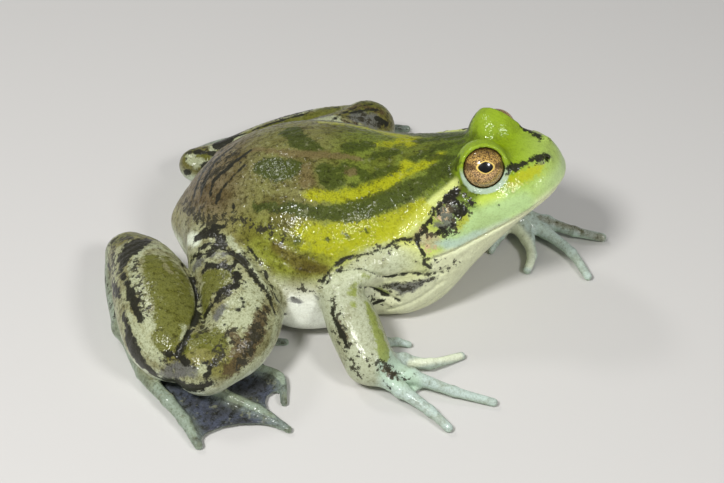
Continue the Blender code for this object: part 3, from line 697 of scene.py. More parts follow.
# On the right side. The left side carries them too, mirrored and a little shifted
SIDE_MARKS = {
    "yellow": {
        "band above": (
            (15, -5, 41.5, 1.8), (9, -12, 40, 2.5), (0, -17, 38.5, 2.2), (-11, -18.5, 39.5, 1.8),
        ),
        "flank": ((20, -17.5, 35, 2.7), (9, -21.5, 31.5, 4), (-4, -27.5, 32.5, 4), (-13, -27, 33.5, 2.2)),
        "low flank": ((-4, -30, 29.5, 1.8), (-12, -30, 31, 1.2)),
        "front of eye": ((45, -11, 43, 1.5), (48.5, -10, 44.5, 1.8), (52.5, -8.5, 45, 1.2)),
        "under ear": ((32.5, -18.5, 34, 1.2), (30.5, -19.5, 32.5, 1.4)),
    },
    "dark_green": {
        "crown": ((21.5, -2, 42, 1.5), (24.5, -1.5, 42.5, 1.7), (27.5, -2.5, 42.5, 0.9)),
        "band": (
            (29.5, -8.5, 47, 1.6), (25, -7.5, 41, 2.2), (19.5, -10.5, 39.5, 2.8), (8, -17, 36.5, 3.2),
            (-3, -22, 36.5, 2.7), (-14, -22.5, 37, 2), (-27, -19.5, 35, 1.3),
        ),
    },
    "olive": {
        "thigh patch": ((-39, -36, 22.5, 1.8), (-36, -37, 24, 2.4), (-32.5, -37, 25, 2.1)),
        "thigh patch mid": ((-38.5, -40, 21.5, 2.7), (-35.5, -40, 23.5, 2.4), (-32.5, -40.5, 24.5, 1.5)),
        "thigh patch low": ((-38, -43, 20, 2.7), (-38, -46.5, 19, 1.8)),
        "thigh front": (
            (-41, -60.5, 18, 1.8), (-39.5, -58, 19, 3), (-36, -58, 19.5, 3.2), (-32.5, -59, 19.5, 2.7),
            (-33.5, -55, 20, 1.5),
        ),
        "heel": (
            (-70.5, -15, 15, 1.4), (-68, -14, 16, 2), (-64.5, -13.5, 16.5, 2.2), (-61.5, -12.5, 16, 2),
            (-57, -15.5, 17, 1.4),
        ),
        "shank right": (
            (-52, -28.5, 21.5, 1.2), (-48, -33, 21.5, 1.6), (-45, -37.5, 20.5, 1.8),
            (-42.5, -43, 20, 1.8), (-42, -48.5, 20, 1.6),
        ),
        "shank top": (
            (-56, -30, 22.5, 2.4), (-52, -38, 23.5, 4.1), (-47.5, -43.5, 22.5, 6.2),
            (-45.5, -49, 21.5, 6.2), (-46, -55, 20.5, 5), (-46.5, -59, 19, 3.5), (-46, -61, 17, 2.1),
        ),
    },
    "moss": {
        "forearm stripe": (
            (6.5, -38.5, 18, 1), (8, -43, 17, 1.4), (10, -46.5, 15, 1.8), (11.5, -49.5, 13, 2.2),
            (12.5, -52.5, 11.5, 2),
        ),
        "elbow dab": ((3, -34.5, 21.5, 0.7), (2.5, -38, 21, 1.1)),
        "shoulder dab": ((5.5, -32.5, 23.5, 0.7), (6.5, -32.5, 22.5, 0.7)),
        "axilla": ((11, -28, 12.5, 0.9), (9, -29, 14, 0.8)),
    },
    "cream": {
        "shank arc": (
            (-53, -23, 19.5, 0.9), (-57, -22, 20.5, 1), (-60, -27, 20.5, 1.2), (-61, -33, 21.5, 1.2),
            (-58.5, -39.5, 22, 1.2), (-55.5, -46, 22, 1.3), (-53, -51.5, 21, 1.7), (-51, -55.5, 20, 1.5),
        ),
        "shank low": (
            (-58.5, -50, 19.5, 0.9), (-56.5, -54.5, 19, 1.2), (-53.5, -58, 18.5, 1.6),
            (-51, -61, 17, 1.8), (-48, -63, 15.5, 1.7),
        ),
        "calf dab": ((-42, -54, 20, 0.8), (-42.5, -58, 19, 0.8)),
        "thigh": (
            (-26, -40.5, 24.5, 2.2), (-23.5, -44.5, 23, 2.4), (-27.5, -48, 23.5, 3.6),
            (-30, -52.5, 22, 3.3), (-26, -52.5, 21.5, 2.8),
        ),
        "knee": ((-36, -65.5, 16.5, 1.6), (-34.5, -66.5, 15.5, 1.3)),
        "thigh rim": (
            (-18, -46.5, 17.5, 1), (-18, -50, 15.5, 1.2), (-19.5, -54.5, 13.5, 1.2), (-22, -59, 13, 1.2),
            (-25, -62, 11.5, 0.9),
        ),
        "knee rim": ((-25, -62, 11.5, 0.9), (-30, -65.5, 9, 0.7), (-37, -67, 7, 0.6), (-46, -63, 5, 0.5)),
        "groin": (
            (-34, -24.5, 27, 1.1), (-30, -29.5, 26.5, 1.1), (-25, -36, 25, 1.1), (-21, -41.5, 22.5, 1.1),
        ),
    },
    "brown": {
        "thigh edge": (
            (-21, -46, 21.5, 1.1), (-21.5, -50, 20.5, 1.8), (-22, -53.5, 19.5, 2.4),
            (-23.5, -57.5, 18.5, 2.8), (-25, -60, 17, 2.7), (-27, -62.5, 15, 2.4),
            (-29.5, -64.5, 14, 1.8),
        ),
        "thigh inner edge": ((-28.5, -57, 20.5, 1.5), (-26.5, -59, 18.5, 1.8)),
        "wrist": ((12.5, -54, 9.5, 0.9), (16.5, -54.5, 6.5, 1.2)),
        "forearm": ((-2.5, -43.5, 17.5, 0.6), (0, -47.5, 15.5, 1), (2, -50.5, 13.5, 0.7)),
        "behind eye": ((30, -12.5, 41, 0.6), (28.5, -14, 39, 0.9), (26, -15.5, 37.5, 0.7)),
    },
    "grey": {
        "knee": ((-45.5, -63.5, 11, 2.1), (-43, -64.5, 14, 2.6), (-39.5, -66, 15.5, 2.2)),
        "thigh": ((-34, -51, 21, 1.4), (-32.5, -48.5, 22.5, 1.1)),
        "drum": ((25.5, -17, 35, 1.5), (27, -18, 34, 2.1), (28, -19, 32.5, 1.8)),
        "drum top": ((27, -15, 37.5, 1.2), (29.5, -16, 36.5, 1.3)),
        "drum low": ((24.5, -19.5, 32.5, 0.9), (27, -20, 31.5, 1.2)),
        "axilla": (
            (12.5, -27.5, 15.5, 1.5), (16.5, -27, 14, 2.2), (20.5, -25.5, 16, 1.2), (24.5, -24, 16, 0.6),
        ),
        "thigh root": ((-43.5, -30, 19.5, 1.4), (-41.5, -30, 22, 1.4)),
        "thigh root top": ((-38, -29.5, 24.5, 0.9), (-34, -29.5, 25.5, 0.9)),
        "nostril": ((52.5, -6, 47, 0.7), (54.5, -4, 45.5, 0.5)),
        "belly a": ((-12.5, -37, 15, 0.8), (-14.5, -37, 16, 0.6)),
    },
    "fleck": {
        "ear": ((25.5, -16.5, 36.5, 0.5), (27, -17.5, 35, 0.8), (28.5, -16, 36, 0.5)),
        "ear low": ((25, -19, 33.5, 0.5), (27.5, -18.5, 33.5, 0.4)),
        "jaw corner": ((21.5, -21, 30.5, 0.8), (23, -22, 28.5, 1.2), (22, -24, 26, 0.9)),
    },
    "spatter": {
        "ear": ((28, -14.5, 38, 1.5), (30, -17, 35.5, 1.8), (29, -19.5, 32, 1.5), (26.5, -20, 31, 1.2)),
        "cheek": ((32.5, -14.5, 38.5, 0.9), (34.5, -15.5, 37.5, 1.2), (32.5, -17, 35.5, 0.9)),
        "jaw corner": ((21.5, -21.5, 29.5, 0.9), (26, -21, 30, 0.9), (28.5, -21, 29, 0.6)),
        "lower jaw": ((22, -25, 23.5, 0.8), (26, -23.5, 20, 0.8), (30, -21, 19, 0.4)),
        "axilla": ((11, -28, 15, 1.3), (15.5, -27, 14, 1.8), (21, -25.5, 15.5, 1.1), (25, -23.5, 16, 0.7)),
        "elbow": ((10, -28.5, 10, 1.4), (7, -30, 11, 1)),
        "rump": ((-50.5, -4.5, 21.5, 2.4), (-45.5, -12, 24.5, 2.7), (-39.5, -19, 26.5, 2.4)),
        "rump top": ((-46, -3, 28, 1.8), (-41.5, -1.5, 33, 2.4), (-35, -1, 36.5, 1.8)),
        "rump side": ((-40, -18, 29, 1.8), (-34, -21, 31, 1.6), (-26, -24, 32, 1.2), (-18, -28, 31, 0.7)),
        "thigh": ((-37.5, -49.5, 18.5, 1.8), (-37.5, -55, 19, 1.5)),
        "thigh inner": ((-28.5, -55.5, 21, 1.6), (-31, -59.5, 19.5, 1.8), (-32, -64.5, 16.5, 1.8)),
        "thigh edge": ((-21, -46.5, 21.5, 1.4), (-22.5, -55, 19, 2.2), (-26, -61.5, 15.5, 2)),
        "thigh loop": ((-29.5, -37, 25.5, 1.7), (-29.5, -42, 24.5, 1.7), (-34.5, -45.5, 22.5, 1.8)),
        "groin": ((-30, -28, 26, 0.5), (-20, -40, 21, 0.6)),
        "belly": ((-14, -36, 19, 1.2), (-6, -35.5, 20, 0.7)),
        "knee": ((-45.5, -62, 16, 1.5), (-42, -62.5, 16.5, 1.5)),
        "shank edge": ((-70, -19.5, 15, 1.7), (-67.5, -31, 15.5, 1.8), (-65, -39, 17, 1.4)),
        "shank arc": ((-60.5, -31.5, 22, 1.1), (-57, -43, 22, 1.2), (-53, -51.5, 21, 1.1)),
        "heel": ((-70, -14, 11, 2), (-64, -17, 17, 1.6)),
        "tarsus": ((-71, -24, 8, 0.5), (-66, -40, 6, 0.5)),
        "wrist": ((4, -54.5, 10.5, 1.2), (5.5, -56.5, 8.5, 1.3)),
        "wrist top": (
            (5, -54.5, 13, 0.8), (9, -54.5, 12, 1), (12.5, -54.5, 9.5, 1.6), (16, -54.5, 7, 1.6),
            (18, -54, 5, 0.9),
        ),
        "forearm": ((-3, -40.5, 19, 1.2), (-1, -46, 16, 1.7), (2, -51, 13.5, 1.4)),
        "shoulder": ((-4, -34, 24, 0.4), (8, -27, 27, 0.5), (17, -23, 28, 0.6)),
    },
    "mint": {
        "lip": ((25.5, -22, 27.5, 0.9), (30, -21.5, 27, 1.3), (34.5, -20, 28.5, 1.2), (38, -18.5, 30, 0.8)),
    },
    "blotch": {
        "eye to nostril": (
            (44, -9.5, 45.5, 1.4), (46, -8.5, 45.5, 1.35), (48, -7.5, 46, 1.1), (50, -6.5, 46.5, 1.1),
            (52, -5.5, 47, 1.4), (54, -4.5, 46.5, 1.4),
        ),
        "ear rear": (
            (19, -22.5, 28.5, 0.6), (20.5, -21.5, 30.5, 0.8), (22, -19.5, 33, 0.95),
            (23.5, -18, 35.5, 0.85), (25.5, -15.5, 37, 0.85), (27.5, -14.5, 39, 1), (29.5, -13, 40, 1.1),
        ),
        "ear front": ((30, -15.5, 37, 1), (31.5, -17, 36.5, 1.2), (30.5, -17.5, 34.5, 1.05)),
        "ear low": ((29, -19.5, 32, 0.8), (27.5, -20.5, 31, 1), (25, -20.5, 30.5, 0.8)),
        "cheek": ((33, -15, 38, 0.8), (34.5, -16, 37, 0.7)),
        "under rump": (
            (-44, -20, 23, 1.5), (-41, -20.5, 25, 1.8), (-37.5, -23, 26, 1.6), (-35.5, -26.5, 26, 1.3),
        ),
        "rump low": ((-43, -25, 23, 0.9), (-40, -24.5, 24.5, 1.2)),
        # painted shade along the crease at the thigh's root
        "thigh root": (
            (-47, -26, 18, 0.7), (-44, -26.5, 20.5, 0.9), (-40.5, -28, 23.5, 1.1),
            (-38.5, -27, 24.5, 1.1), (-36.5, -25.5, 25.5, 0.9),
        ),
        # painted shade along the crease between thigh and flank
        "groin": (
            (-35, -27, 25.5, 0.9), (-32, -30, 25.5, 0.85), (-29.5, -32.5, 25, 0.75),
            (-26.5, -35.5, 25, 0.85), (-24, -38.5, 24.5, 0.75), (-22, -41, 23, 0.6),
            (-20, -43, 21.5, 0.5), (-18.5, -45, 19, 0.4),
        ),
        "thigh arch": (
            (-40.5, -33.5, 22, 0.9), (-39, -32.5, 23.5, 1.1), (-36.5, -33.5, 24.5, 1.1),
            (-34, -34, 25, 1.15), (-31.5, -34.5, 25.5, 1.15), (-30.5, -32, 25.5, 0.7),
        ),
        "thigh loop": (
            (-30, -37, 25.5, 1), (-29.5, -40, 25, 1.15), (-31, -42.5, 24.5, 1.1), (-33, -43, 23.5, 1.15),
            (-34.5, -45, 22.5, 1.25), (-36, -46.5, 21, 1.2), (-37.5, -47.5, 19.5, 0.9),
        ),
        # painted shade along the crease where calf and thigh touch
        "calf": (
            (-45, -30.5, 17.5, 0.9), (-43, -34.5, 17.5, 0.9), (-41.5, -39, 17.5, 0.85),
            (-40.5, -46, 17.5, 0.8), (-41, -55, 18.5, 0.75), (-42, -58.5, 18, 0.9),
            (-42.5, -60.5, 17, 1.2),
        ),
        "knee top": (
            (-45.5, -61.5, 16.5, 0.8), (-42.5, -62.5, 16.5, 1.05), (-39, -64.5, 17, 0.8),
            (-34.5, -64.5, 17.5, 0.65),
        ),
        "knee band": (
            (-47, -63.5, 7.5, 1.3), (-42.5, -66, 9, 2.1), (-38, -67.2, 10.5, 2), (-33.5, -67, 12.5, 1.4),
        ),
        "knee side": ((-34, -67, 14.5, 0.8), (-33, -65.5, 16, 0.8), (-33, -64, 17, 0.7)),
        "heel": (
            (-64, -30, 20, 1.6), (-64, -25.5, 20, 3.6), (-63, -23, 20, 4.2), (-61, -20.5, 20, 3.2),
            (-59.5, -18, 19, 1.2),
        ),
        "shank inner stripe": (
            (-65, -29.5, 19, 0.6), (-63, -35.5, 20.5, 0.9), (-60.5, -40, 21, 1.2), (-59, -43.5, 21, 1.5),
            (-57, -46.5, 21, 1.5), (-56, -49.5, 20.5, 1.2), (-54, -52.5, 20, 0.8),
        ),
        "shank outer stripe": (
            (-61, -47, 18.5, 0.9), (-59.5, -51, 17.5, 1.2), (-58, -54.5, 17, 1.9), (-57, -57, 15.5, 2.7),
            (-55.5, -59.5, 14, 2.8), (-53.5, -61, 12.5, 2.4), (-51.5, -62.5, 11.5, 1.9),
            (-49.5, -63, 9.5, 1.4),
        ),
        "shank edge": ((-67.5, -32.5, 14.5, 0.95), (-64.5, -39, 17.5, 1.1), (-63, -42, 18, 0.8)),
        "shank edge top": ((-72, -20.5, 11, 0.6), (-69.5, -26, 13, 0.7)),
    },
    "black": {
        "behind eye": ((30, -12.5, 40, 0.5), (30.5, -11.5, 42, 0.35)),
        # painted shade along the crease at the jaw's angle
        "jaw angle": (
            (18.5, -22, 28.5, 0.3), (20, -23.5, 27, 0.35), (21.5, -24.5, 25, 0.4),
            (21.5, -25, 22.5, 0.55), (23.5, -24.5, 20.5, 0.4),
        ),
        # painted shade along the shoulder's crease
        "shoulder line": (
            (-6, -35, 22, 0.35), (-4.5, -32.5, 24.5, 0.35), (-2, -31, 26, 0.35), (1.5, -29, 26.5, 0.3),
            (6.5, -27, 27, 0.3), (10.5, -25.5, 27.5, 0.4), (13.5, -24, 29, 0.5), (18, -22.5, 29, 0.4),
        ),
        # painted shade along the crease between arm and body
        "arm crease shade": (
            (-5, -35.5, 22, 0.25), (-3, -33.5, 24, 0.25), (0, -32.5, 24.5, 0.25), (4.5, -31.5, 24, 0.25),
            (7.5, -31.5, 23, 0.3), (11, -29, 19.5, 0.3), (18, -27, 20, 0.3), (22, -25, 18.5, 0.35),
            (26.5, -23, 17.5, 0.3),
        ),
        # painted shade in the elbow's crease
        "elbow crease shade": (
            (4.5, -34.5, 20, 0.3), (7.5, -29, 15, 0.4), (10.5, -28, 12.5, 0.5), (14.5, -27.5, 9.5, 0.4),
        ),
        "elbow patch": ((8, -29, 9, 0.5), (10, -28.5, 10, 0.8)),
        "forearm rear": (
            (-3, -41, 18.5, 0.5), (-2, -44.5, 16.5, 0.7), (0.5, -48, 15, 0.9), (2, -51.5, 13, 0.6),
        ),
        "hand dash": ((12.5, -57, 6, 0.35), (14.5, -58, 5, 0.35)),
        # painted shade in the groin's crease
        "groin crease shade": (
            (-28.5, -27, 26.5, 0.25), (-24.5, -31.5, 24.5, 0.3), (-21.5, -36, 22, 0.3),
            (-18.5, -41, 19.5, 0.3), (-17, -37.5, 10.5, 0.25),
        ),
        "over rump": ((-39.5, -19.5, 26, 0.9), (-36, -20.5, 28, 0.6)),
        # painted shade in the crease where calf and thigh touch
        "calf crease shade": (
            (-47.5, -27.5, 18, 0.45), (-44.5, -33, 18.5, 0.55), (-42.5, -37, 18, 0.6),
            (-41, -41.5, 18, 0.65), (-40, -48, 18.5, 0.6), (-40.5, -54, 19.5, 0.6),
            (-42, -58, 18.5, 0.65), (-43, -61.5, 17, 0.7),
        ),
        "thigh speck a": ((-27, -46, 24, 0.4), (-27, -48, 23.5, 0.35)),
        "heel edge": ((-72.5, -13, 12, 0.7), (-71, -10.5, 13, 0.6)),
    },
}

# Round dots on both sides, by colour
SIDE_DOTS = {
    "dark_green": ((-6, -28, 32, 0.8), (5, -23.5, 31.5, 0.8), (0, -26, 31.5, 0.6), (-14, -29, 31.5, 0.7)),
    "moss": ((3.5, -41.5, 20, 0.8),),
    "grey": ((-8, -36.5, 17.5, 0.6),),
    "black": (
        (33, -15.5, 37.5, 0.55), (32.5, -17, 35.5, 0.5), (42, -15.5, 37.5, 0.4),
        (24.5, -23.5, 22.5, 0.55), (25.5, -23.5, 20, 0.5), (-33.5, -17, 32.5, 0.9), (-28, -49, 23, 0.35),
        (-31.5, -53.5, 21.5, 0.35), (-26.5, -53.5, 21.5, 0.35), (-70.5, -22, 12, 0.55),
        (-68.5, -28.5, 10, 0.65), (-66, -38, 8, 0.6),
    ),
}

# Strokes and dots in one place only: the blotches of the back, and the left leg
LONE_MARKS = {
    "yellow": {
        "nape": ((24.5, -0.5, 42, 1.2), (20.5, -4.5, 41.5, 1.5), (16, -7.5, 40.5, 1.5)),
        "left nape": ((5.5, 3, 42, 1.2), (11, 5, 41.5, 1.5), (16.5, 10, 40, 1.2)),
    },
    "dark_green": {
        "blade spot": ((-7.5, -11, 42, 3), (-6, -14, 41, 2.7), (-3.5, -12, 41.5, 1.8)),
        "blade arm": ((-4, -9.5, 42.5, 1.4), (-0.5, -8.5, 42.5, 1.6), (3.5, -10, 41.5, 1.4)),
        "rump spot": ((-26, -8, 40, 3.3), (-21, -9.5, 41.5, 4.1), (-16, -9.5, 42, 2.6)),
        "left rump spot": ((-20, 8, 41.5, 3.3), (-16, 1, 43, 3.1), (-11.5, -1.5, 43.5, 2.1)),
        "left blade spot": ((-2, -1, 43, 2.4), (0.5, 1, 42.5, 2.8), (3.5, 3, 42.5, 2)),
        "neck": ((6, -3, 42, 1.4), (11.5, 0, 42, 1.3)),
        "middle dash": ((-2.5, -8, 42.5, 1), (0, -7, 42.5, 1)),
        "neck dashes": ((3, -11, 41, 1.1), (8, -8.5, 41, 1.2), (12, -6, 41, 1.1)),
        "nape": ((16.5, -2, 41.5, 1.3), (22, 0.5, 42, 1.4)),
        "nape low": ((20.5, -8, 40.5, 0.9), (25, -4, 42, 1.2), (29, -1.5, 43, 0.9)),
        "left nape": ((18, 7, 41, 1.5), (23, 8.5, 41, 1.2)),
    },
    "tan": {
        "midline": (
            (-30.5, 1.5, 39, 0.9), (-23, -2, 41.5, 1), (-15.5, -4, 43, 1.6), (0.5, -4.5, 42.5, 1.2),
        ),
        "between spots": ((-13.5, -9.5, 42.5, 1.5), (-12.5, -14, 41, 2.2)),
    },
    "black": {
        "rump streak a": (
            (-31, 1.5, 38.5, 0.5), (-36, -2.5, 36, 0.9), (-41, -5.5, 32, 0.8), (-41.5, -10, 30, 0.5),
        ),
        "rump streak b": ((-32, -5, 38, 0.4), (-38, -10.5, 32.5, 0.75), (-39, -13.5, 30.5, 0.65)),
        "rump streak c": ((-37, 9, 35, 0.5), (-42, 4, 32, 0.9), (-44.5, -2, 30, 1.1), (-45, -7, 28, 0.7)),
        "rump streak d": ((-41, 11, 31, 0.5), (-45, 6, 29, 1), (-47, 0, 27, 1), (-48, -5, 25, 0.6)),
        "left thigh line": ((-12, 37, 24.5, 0.4), (-7.5, 46, 22, 0.4), (0, 50, 20, 0.4)),
        "left knee a": ((2.5, 45, 20.5, 0.9), (5.5, 45.5, 18.5, 0.8)),
        "left knee b": ((-6, 45, 22, 0.6), (3, 48, 21.5, 0.7)),
        "left shank": ((-49, 34.5, 15, 0.5), (-31, 43.5, 19, 0.45), (-10.5, 52, 19.5, 0.4)),
        "left heel a": ((-54, 31.5, 14, 1), (-48, 30.5, 14.5, 0.7)),
        "left heel b": ((-57, 26.5, 9, 1), (-49.5, 27.5, 12, 0.8)),
    },
    "cream": {
        "left heel": ((-55.5, 29, 13, 1.8), (-53, 27.5, 12.5, 2.2)),
        "left shank": ((-49, 32, 15, 1.8), (-39, 37, 17, 1.3)),
    },
    "brown": {
        "left knee": ((-6, 48, 21.5, 1.5), (4, 48.5, 21, 1.3)),
    },
    "grey": {
        "left knee": ((-3.5, 43, 21.5, 3), (1, 44, 20, 2.8)),
    },
}
LONE_DOTS = {
    "dark_green": ((1, -13.5, 40, 0.9),),
    "tan": ((-0.5, -10, 41.5, 1.6),),
}

# The order in which the skin takes its colours
SOFT_MARKS = ("yellow", "olive", "dark_green", "tan", "moss", "cream", "grey", "brown", "mint", "fleck")
DARK_MARKS = ("spatter", "blotch", "black")


def strokes_of(colour):
    """(stroke, whether it is on both sides) for each mark of a colour."""
    for strokes, dots, both_sides in ((SIDE_MARKS, SIDE_DOTS, True), (LONE_MARKS, LONE_DOTS, False)):
        for rows in strokes.get(colour, {}).values():
            yield rows, both_sides
        for dot in dots.get(colour, ()):
            yield (dot,), both_sides


def keep_marks(skin):
    """Gives each vertex its distance to the marks of each colour, for the material to read."""
    for colour in SOFT_MARKS + DARK_MARKS:
        distance = np.full(len(skin.points), STROKE_MARGIN)
        for rows, both_sides in strokes_of(colour):
            np.minimum(distance, skin.stroke_distance(rows, both_sides), out=distance)
        skin.keep(colour, "FLOAT", np.maximum(distance, -STROKE_MARGIN))


# ---- Relief

# Height and width in millimetres, then the stroke. Negative heights are creases
RELIEF = {
    "fold over ear": (0.55, 1.1, ((31, -11.5, 41), (25, -15.5, 37), (17.5, -21.5, 30.5))),
    "fold to shoulder": (0.4, 1.2, ((17.5, -21.5, 30.5), (9, -26, 28), (2, -29, 27))),
    "shoulder line": (
        -0.6, 0.7, ((-6, -35.5, 22), (-1.5, -31, 26.5), (8, -26.5, 27.5), (18.5, -22.5, 28.5)),
    ),
    "arm line": (-0.5, 0.6, ((-5, -35.5, 22), (0, -32.5, 24.5), (7.5, -31.5, 23), (11, -29, 19.5))),
    "arm to throat": (-0.45, 0.6, ((11, -29, 19.5), (18, -27, 20), (26.5, -23, 17.5))),
    "arm fold": (0.4, 1.0, ((8, -29.5, 17), (14, -27.5, 17), (22, -25, 16.5))),
    "elbow pit": (-0.6, 0.6, ((4.5, -34.5, 20), (7.5, -29, 15), (14.5, -27.5, 9.5))),
    "elbow fold": (0.4, 0.8, ((8, -29, 12.5), (12.5, -27.5, 8))),
    "chest fold a": (-0.35, 0.7, ((12, -27, 6), (20, -26, 9), (27, -23, 14))),
    "chest fold b": (-0.3, 0.7, ((14, -25, 3), (21, -24, 6), (28, -20, 11))),
    "jaw angle": (-0.3, 0.5, ((18.5, -22.5, 28.5), (22, -24.5, 24), (23.5, -24, 21))),
    "groin fold": (0.6, 1.2, ((-34, -23.5, 27), (-25.5, -35.5, 24.5), (-21, -41, 22))),
    "groin line": (-0.6, 0.6, ((-28.5, -27, 26.5), (-21.5, -36, 22), (-17, -37.5, 10.5))),
    "thigh line": (-0.6, 0.6, ((-34.5, -27.5, 26), (-26.5, -35.5, 25), (-18.5, -45, 19))),
    "thigh root": (-0.5, 0.6, ((-47, -26, 18), (-40.5, -27.5, 24), (-34.5, -27.5, 26))),
    "calf line": (-0.7, 0.7, ((-47.5, -27.5, 18), (-41, -41.5, 18), (-40.5, -54, 19.5), (-43, -61.5, 17))),
    "flank fold": (-0.3, 0.8, ((-24, -26, 31.5), (-16, -30, 30), (-8, -32, 28))),
    "flank fold low": (-0.3, 0.8, ((-24, -30, 27), (-16, -33, 26), (-9, -34, 25))),
    "rump fold": (0.4, 1.0, ((-45, -12, 27), (-38, -14, 31), (-31, -17, 33))),
    "rump crease": (-0.35, 0.7, ((-46, -15, 24), (-38, -18, 28), (-30, -21, 30))),
    "throat fold a": (-0.3, 0.8, ((22, -17, 9), (24, -21, 14), (27, -22, 19))),
    "throat fold b": (-0.25, 0.8, ((29, -16, 14), (31, -19, 19))),
    "jaw edge": (0.25, 1.0, ((30, -21, 23), (40, -17, 28.5), (50, -13, 34.5), (57, -7, 37.5))),
    "brow": (0.35, 1.3, ((42, -9, 47.5), (48, -7.5, 47), (53, -5.5, 47))),
    "loreal dip": (-0.4, 1.6, ((46, -11.5, 43), (52, -9.5, 44.5))),
}
EAR_RING = 0.4
EAR_RING_WIDTH = 0.55
EAR_SINK = 0.3
EAR_BOSS = 0.15
EAR_BOSS_RADIUS = 1.0
EAR_REACH = 4.0
WART_SPACING = 1.5
WART_HEIGHT = 0.13
WART_RADIUS = 0.62  # over their spacing
WARTS_ON_HEAD = 0.25  # their height there, over that on the body
WARTS_ON_LIMBS = 0.7


def ear_relief(skin, side):
    """The ring about an eardrum, the sunken drum and the small boss at its centre."""
    centre = box_mm(f"tympanum_{side}")[0]
    facing = np.array(TYMPANUM_FACING[side])
    forward, aside = along_and_aside(*skin.points.T, centre, facing / np.linalg.norm(facing))
    height = EAR_RING * np.exp(-((aside - TYMPANUM_RADIUS) / EAR_RING_WIDTH) ** 2)
    height -= EAR_SINK * ramp(aside, TYMPANUM_RADIUS - 0.2, TYMPANUM_RADIUS - 1.0)
    height += EAR_BOSS * np.exp(-(aside / EAR_BOSS_RADIUS) ** 2)
    return np.where(np.abs(forward) < EAR_REACH, height, 0.0)


def wart_relief(skin):
    """Low pebbles, tallest on the back and flanks and nearly gone on the belly, hands and feet."""
    where = (skin.points / WART_SPACING).tolist()
    gap = np.array([noise.voronoi(point)[0][0] for point in where])
    pebble = np.clip(1.0 - (gap / WART_RADIUS) ** 2, 0.0, 1.0)
    upper = ramp(skin.points[:, 2], 6.0, 20.0)
    head = ramp(skin.points[:, 0], 25.0, 45.0)
    is_body = skin.parts["torso"] < skin.nearest + 0.5
    amount = np.where(is_body, 1.0 - (1.0 - WARTS_ON_HEAD) * head, WARTS_ON_LIMBS) * upper
    return WART_HEIGHT * amount * pebble


def raise_relief(skin):
    """Moves the skin out or in along its normals, but never under the floor."""
    height = wart_relief(skin)
    for side in TYMPANUM_FACING:
        height += ear_relief(skin, side)
    for tall, wide, places in RELIEF.values():
        rows = [(*place, 0.0) for place in places]
        distance = skin.stroke_distance(rows, both_sides=True)
        height += tall * np.exp(-(distance / wide) ** 2)
    moved = (skin.points + height[:, None] * skin.normals) * MM
    moved[:, 2] = np.maximum(moved[:, 2], 0.0)
    skin.mesh.vertices.foreach_set("co", moved.astype(np.float32).ravel())
    skin.mesh.update()


# ---- Base colours

# Linear red, green and blue, then how strongly dark mottling shows there
COLOURS = {
    "rump brown": (0.185, 0.15, 0.075, 1.0),
    "back olive": (0.20, 0.195, 0.06, 0.9),
    "back green": (0.17, 0.21, 0.03, 0.75),
    "crown green": (0.125, 0.18, 0.016, 0.55),
    "brow green": (0.27, 0.39, 0.02, 0.2),
    "snout": (0.44, 0.57, 0.18, 0.22),
    "flank brown": (0.30, 0.28, 0.11, 0.9),
    "flank olive": (0.25, 0.27, 0.035, 0.8),
    "flank shade": (0.16, 0.14, 0.025, 0.9),
    "finger slate": (0.50, 0.60, 0.54, 0.4),
    "finger dark": (0.36, 0.39, 0.33, 0.9),
    # the fingers' own pale colour, lightened further as painted light: it brightens the left hand where the
    # head shades it and stands in for a highlight on a right finger
    "finger pale and painted light": (0.78, 0.84, 0.64, 0.2),
    "flank yellow": (0.42, 0.46, 0.04, 0.3),
    "shoulder yellow": (0.66, 0.70, 0.12, 0.1),
    "cheek green": (0.40, 0.57, 0.12, 0.25),
    "cheek mint": (0.46, 0.64, 0.27, 0.2),
    "eye green": (0.50, 0.64, 0.09, 0.1),
    "snout mint": (0.52, 0.66, 0.32, 0.1),
    "belly white": (0.95, 0.98, 0.86, 0.1),
    "chest": (0.76, 0.78, 0.52, 0.12),
    "throat": (0.74, 0.77, 0.50, 0.12),
    "groin": (0.80, 0.86, 0.68, 0.35),
    "leg cream": (0.38, 0.39, 0.22, 0.95),
    "leg olive": (0.22, 0.21, 0.06, 0.8),
    "arm cream": (0.56, 0.60, 0.40, 0.4),
    "forearm": (0.46, 0.49, 0.33, 0.45),
    "mint": (0.48, 0.62, 0.48, 0.25),
    "foot mint": (0.29, 0.35, 0.27, 0.6),
    "web slate": (0.075, 0.085, 0.12, 0.9),
    "lid pale": (0.42, 0.54, 0.40, 0.1),
    "ridge yellow": (0.62, 0.68, 0.22, 0.1),
    "ear cream": (0.48, 0.46, 0.24, 0.5),
}

# x, then the colours of the back, flank and belly there
TORSO_COLOURS = (
    (-57, "rump brown", "flank brown", "groin"),
    (-38, "rump brown", "flank brown", "groin"),
    (-26, "back olive", "flank olive", "belly white"),
    (-12, "back olive", "flank olive", "belly white"),
    (0, "back green", "flank yellow", "belly white"),
    (9, "back green", "flank yellow", "chest"),
    (18, "back green", "shoulder yellow", "chest"),
    (30, "crown green", "cheek green", "throat"),
    (46, "brow green", "cheek green", "throat"),
    (60, "snout", "snout mint", "throat"),
)

# The colours of each limb above and below
LIMB_COLOURS = {
    "upper_arm": ("arm cream", "chest"),
    "forearm": ("forearm", "arm cream"),
    "finger": ("finger slate", "mint"),
    "thigh": ("leg cream", "groin"),
    "shank": ("leg cream", "groin"),
    "tarsus": ("foot mint", "mint"),
    "toes": ("foot mint", "mint"),
    "web": ("web slate", "foot mint"),
}

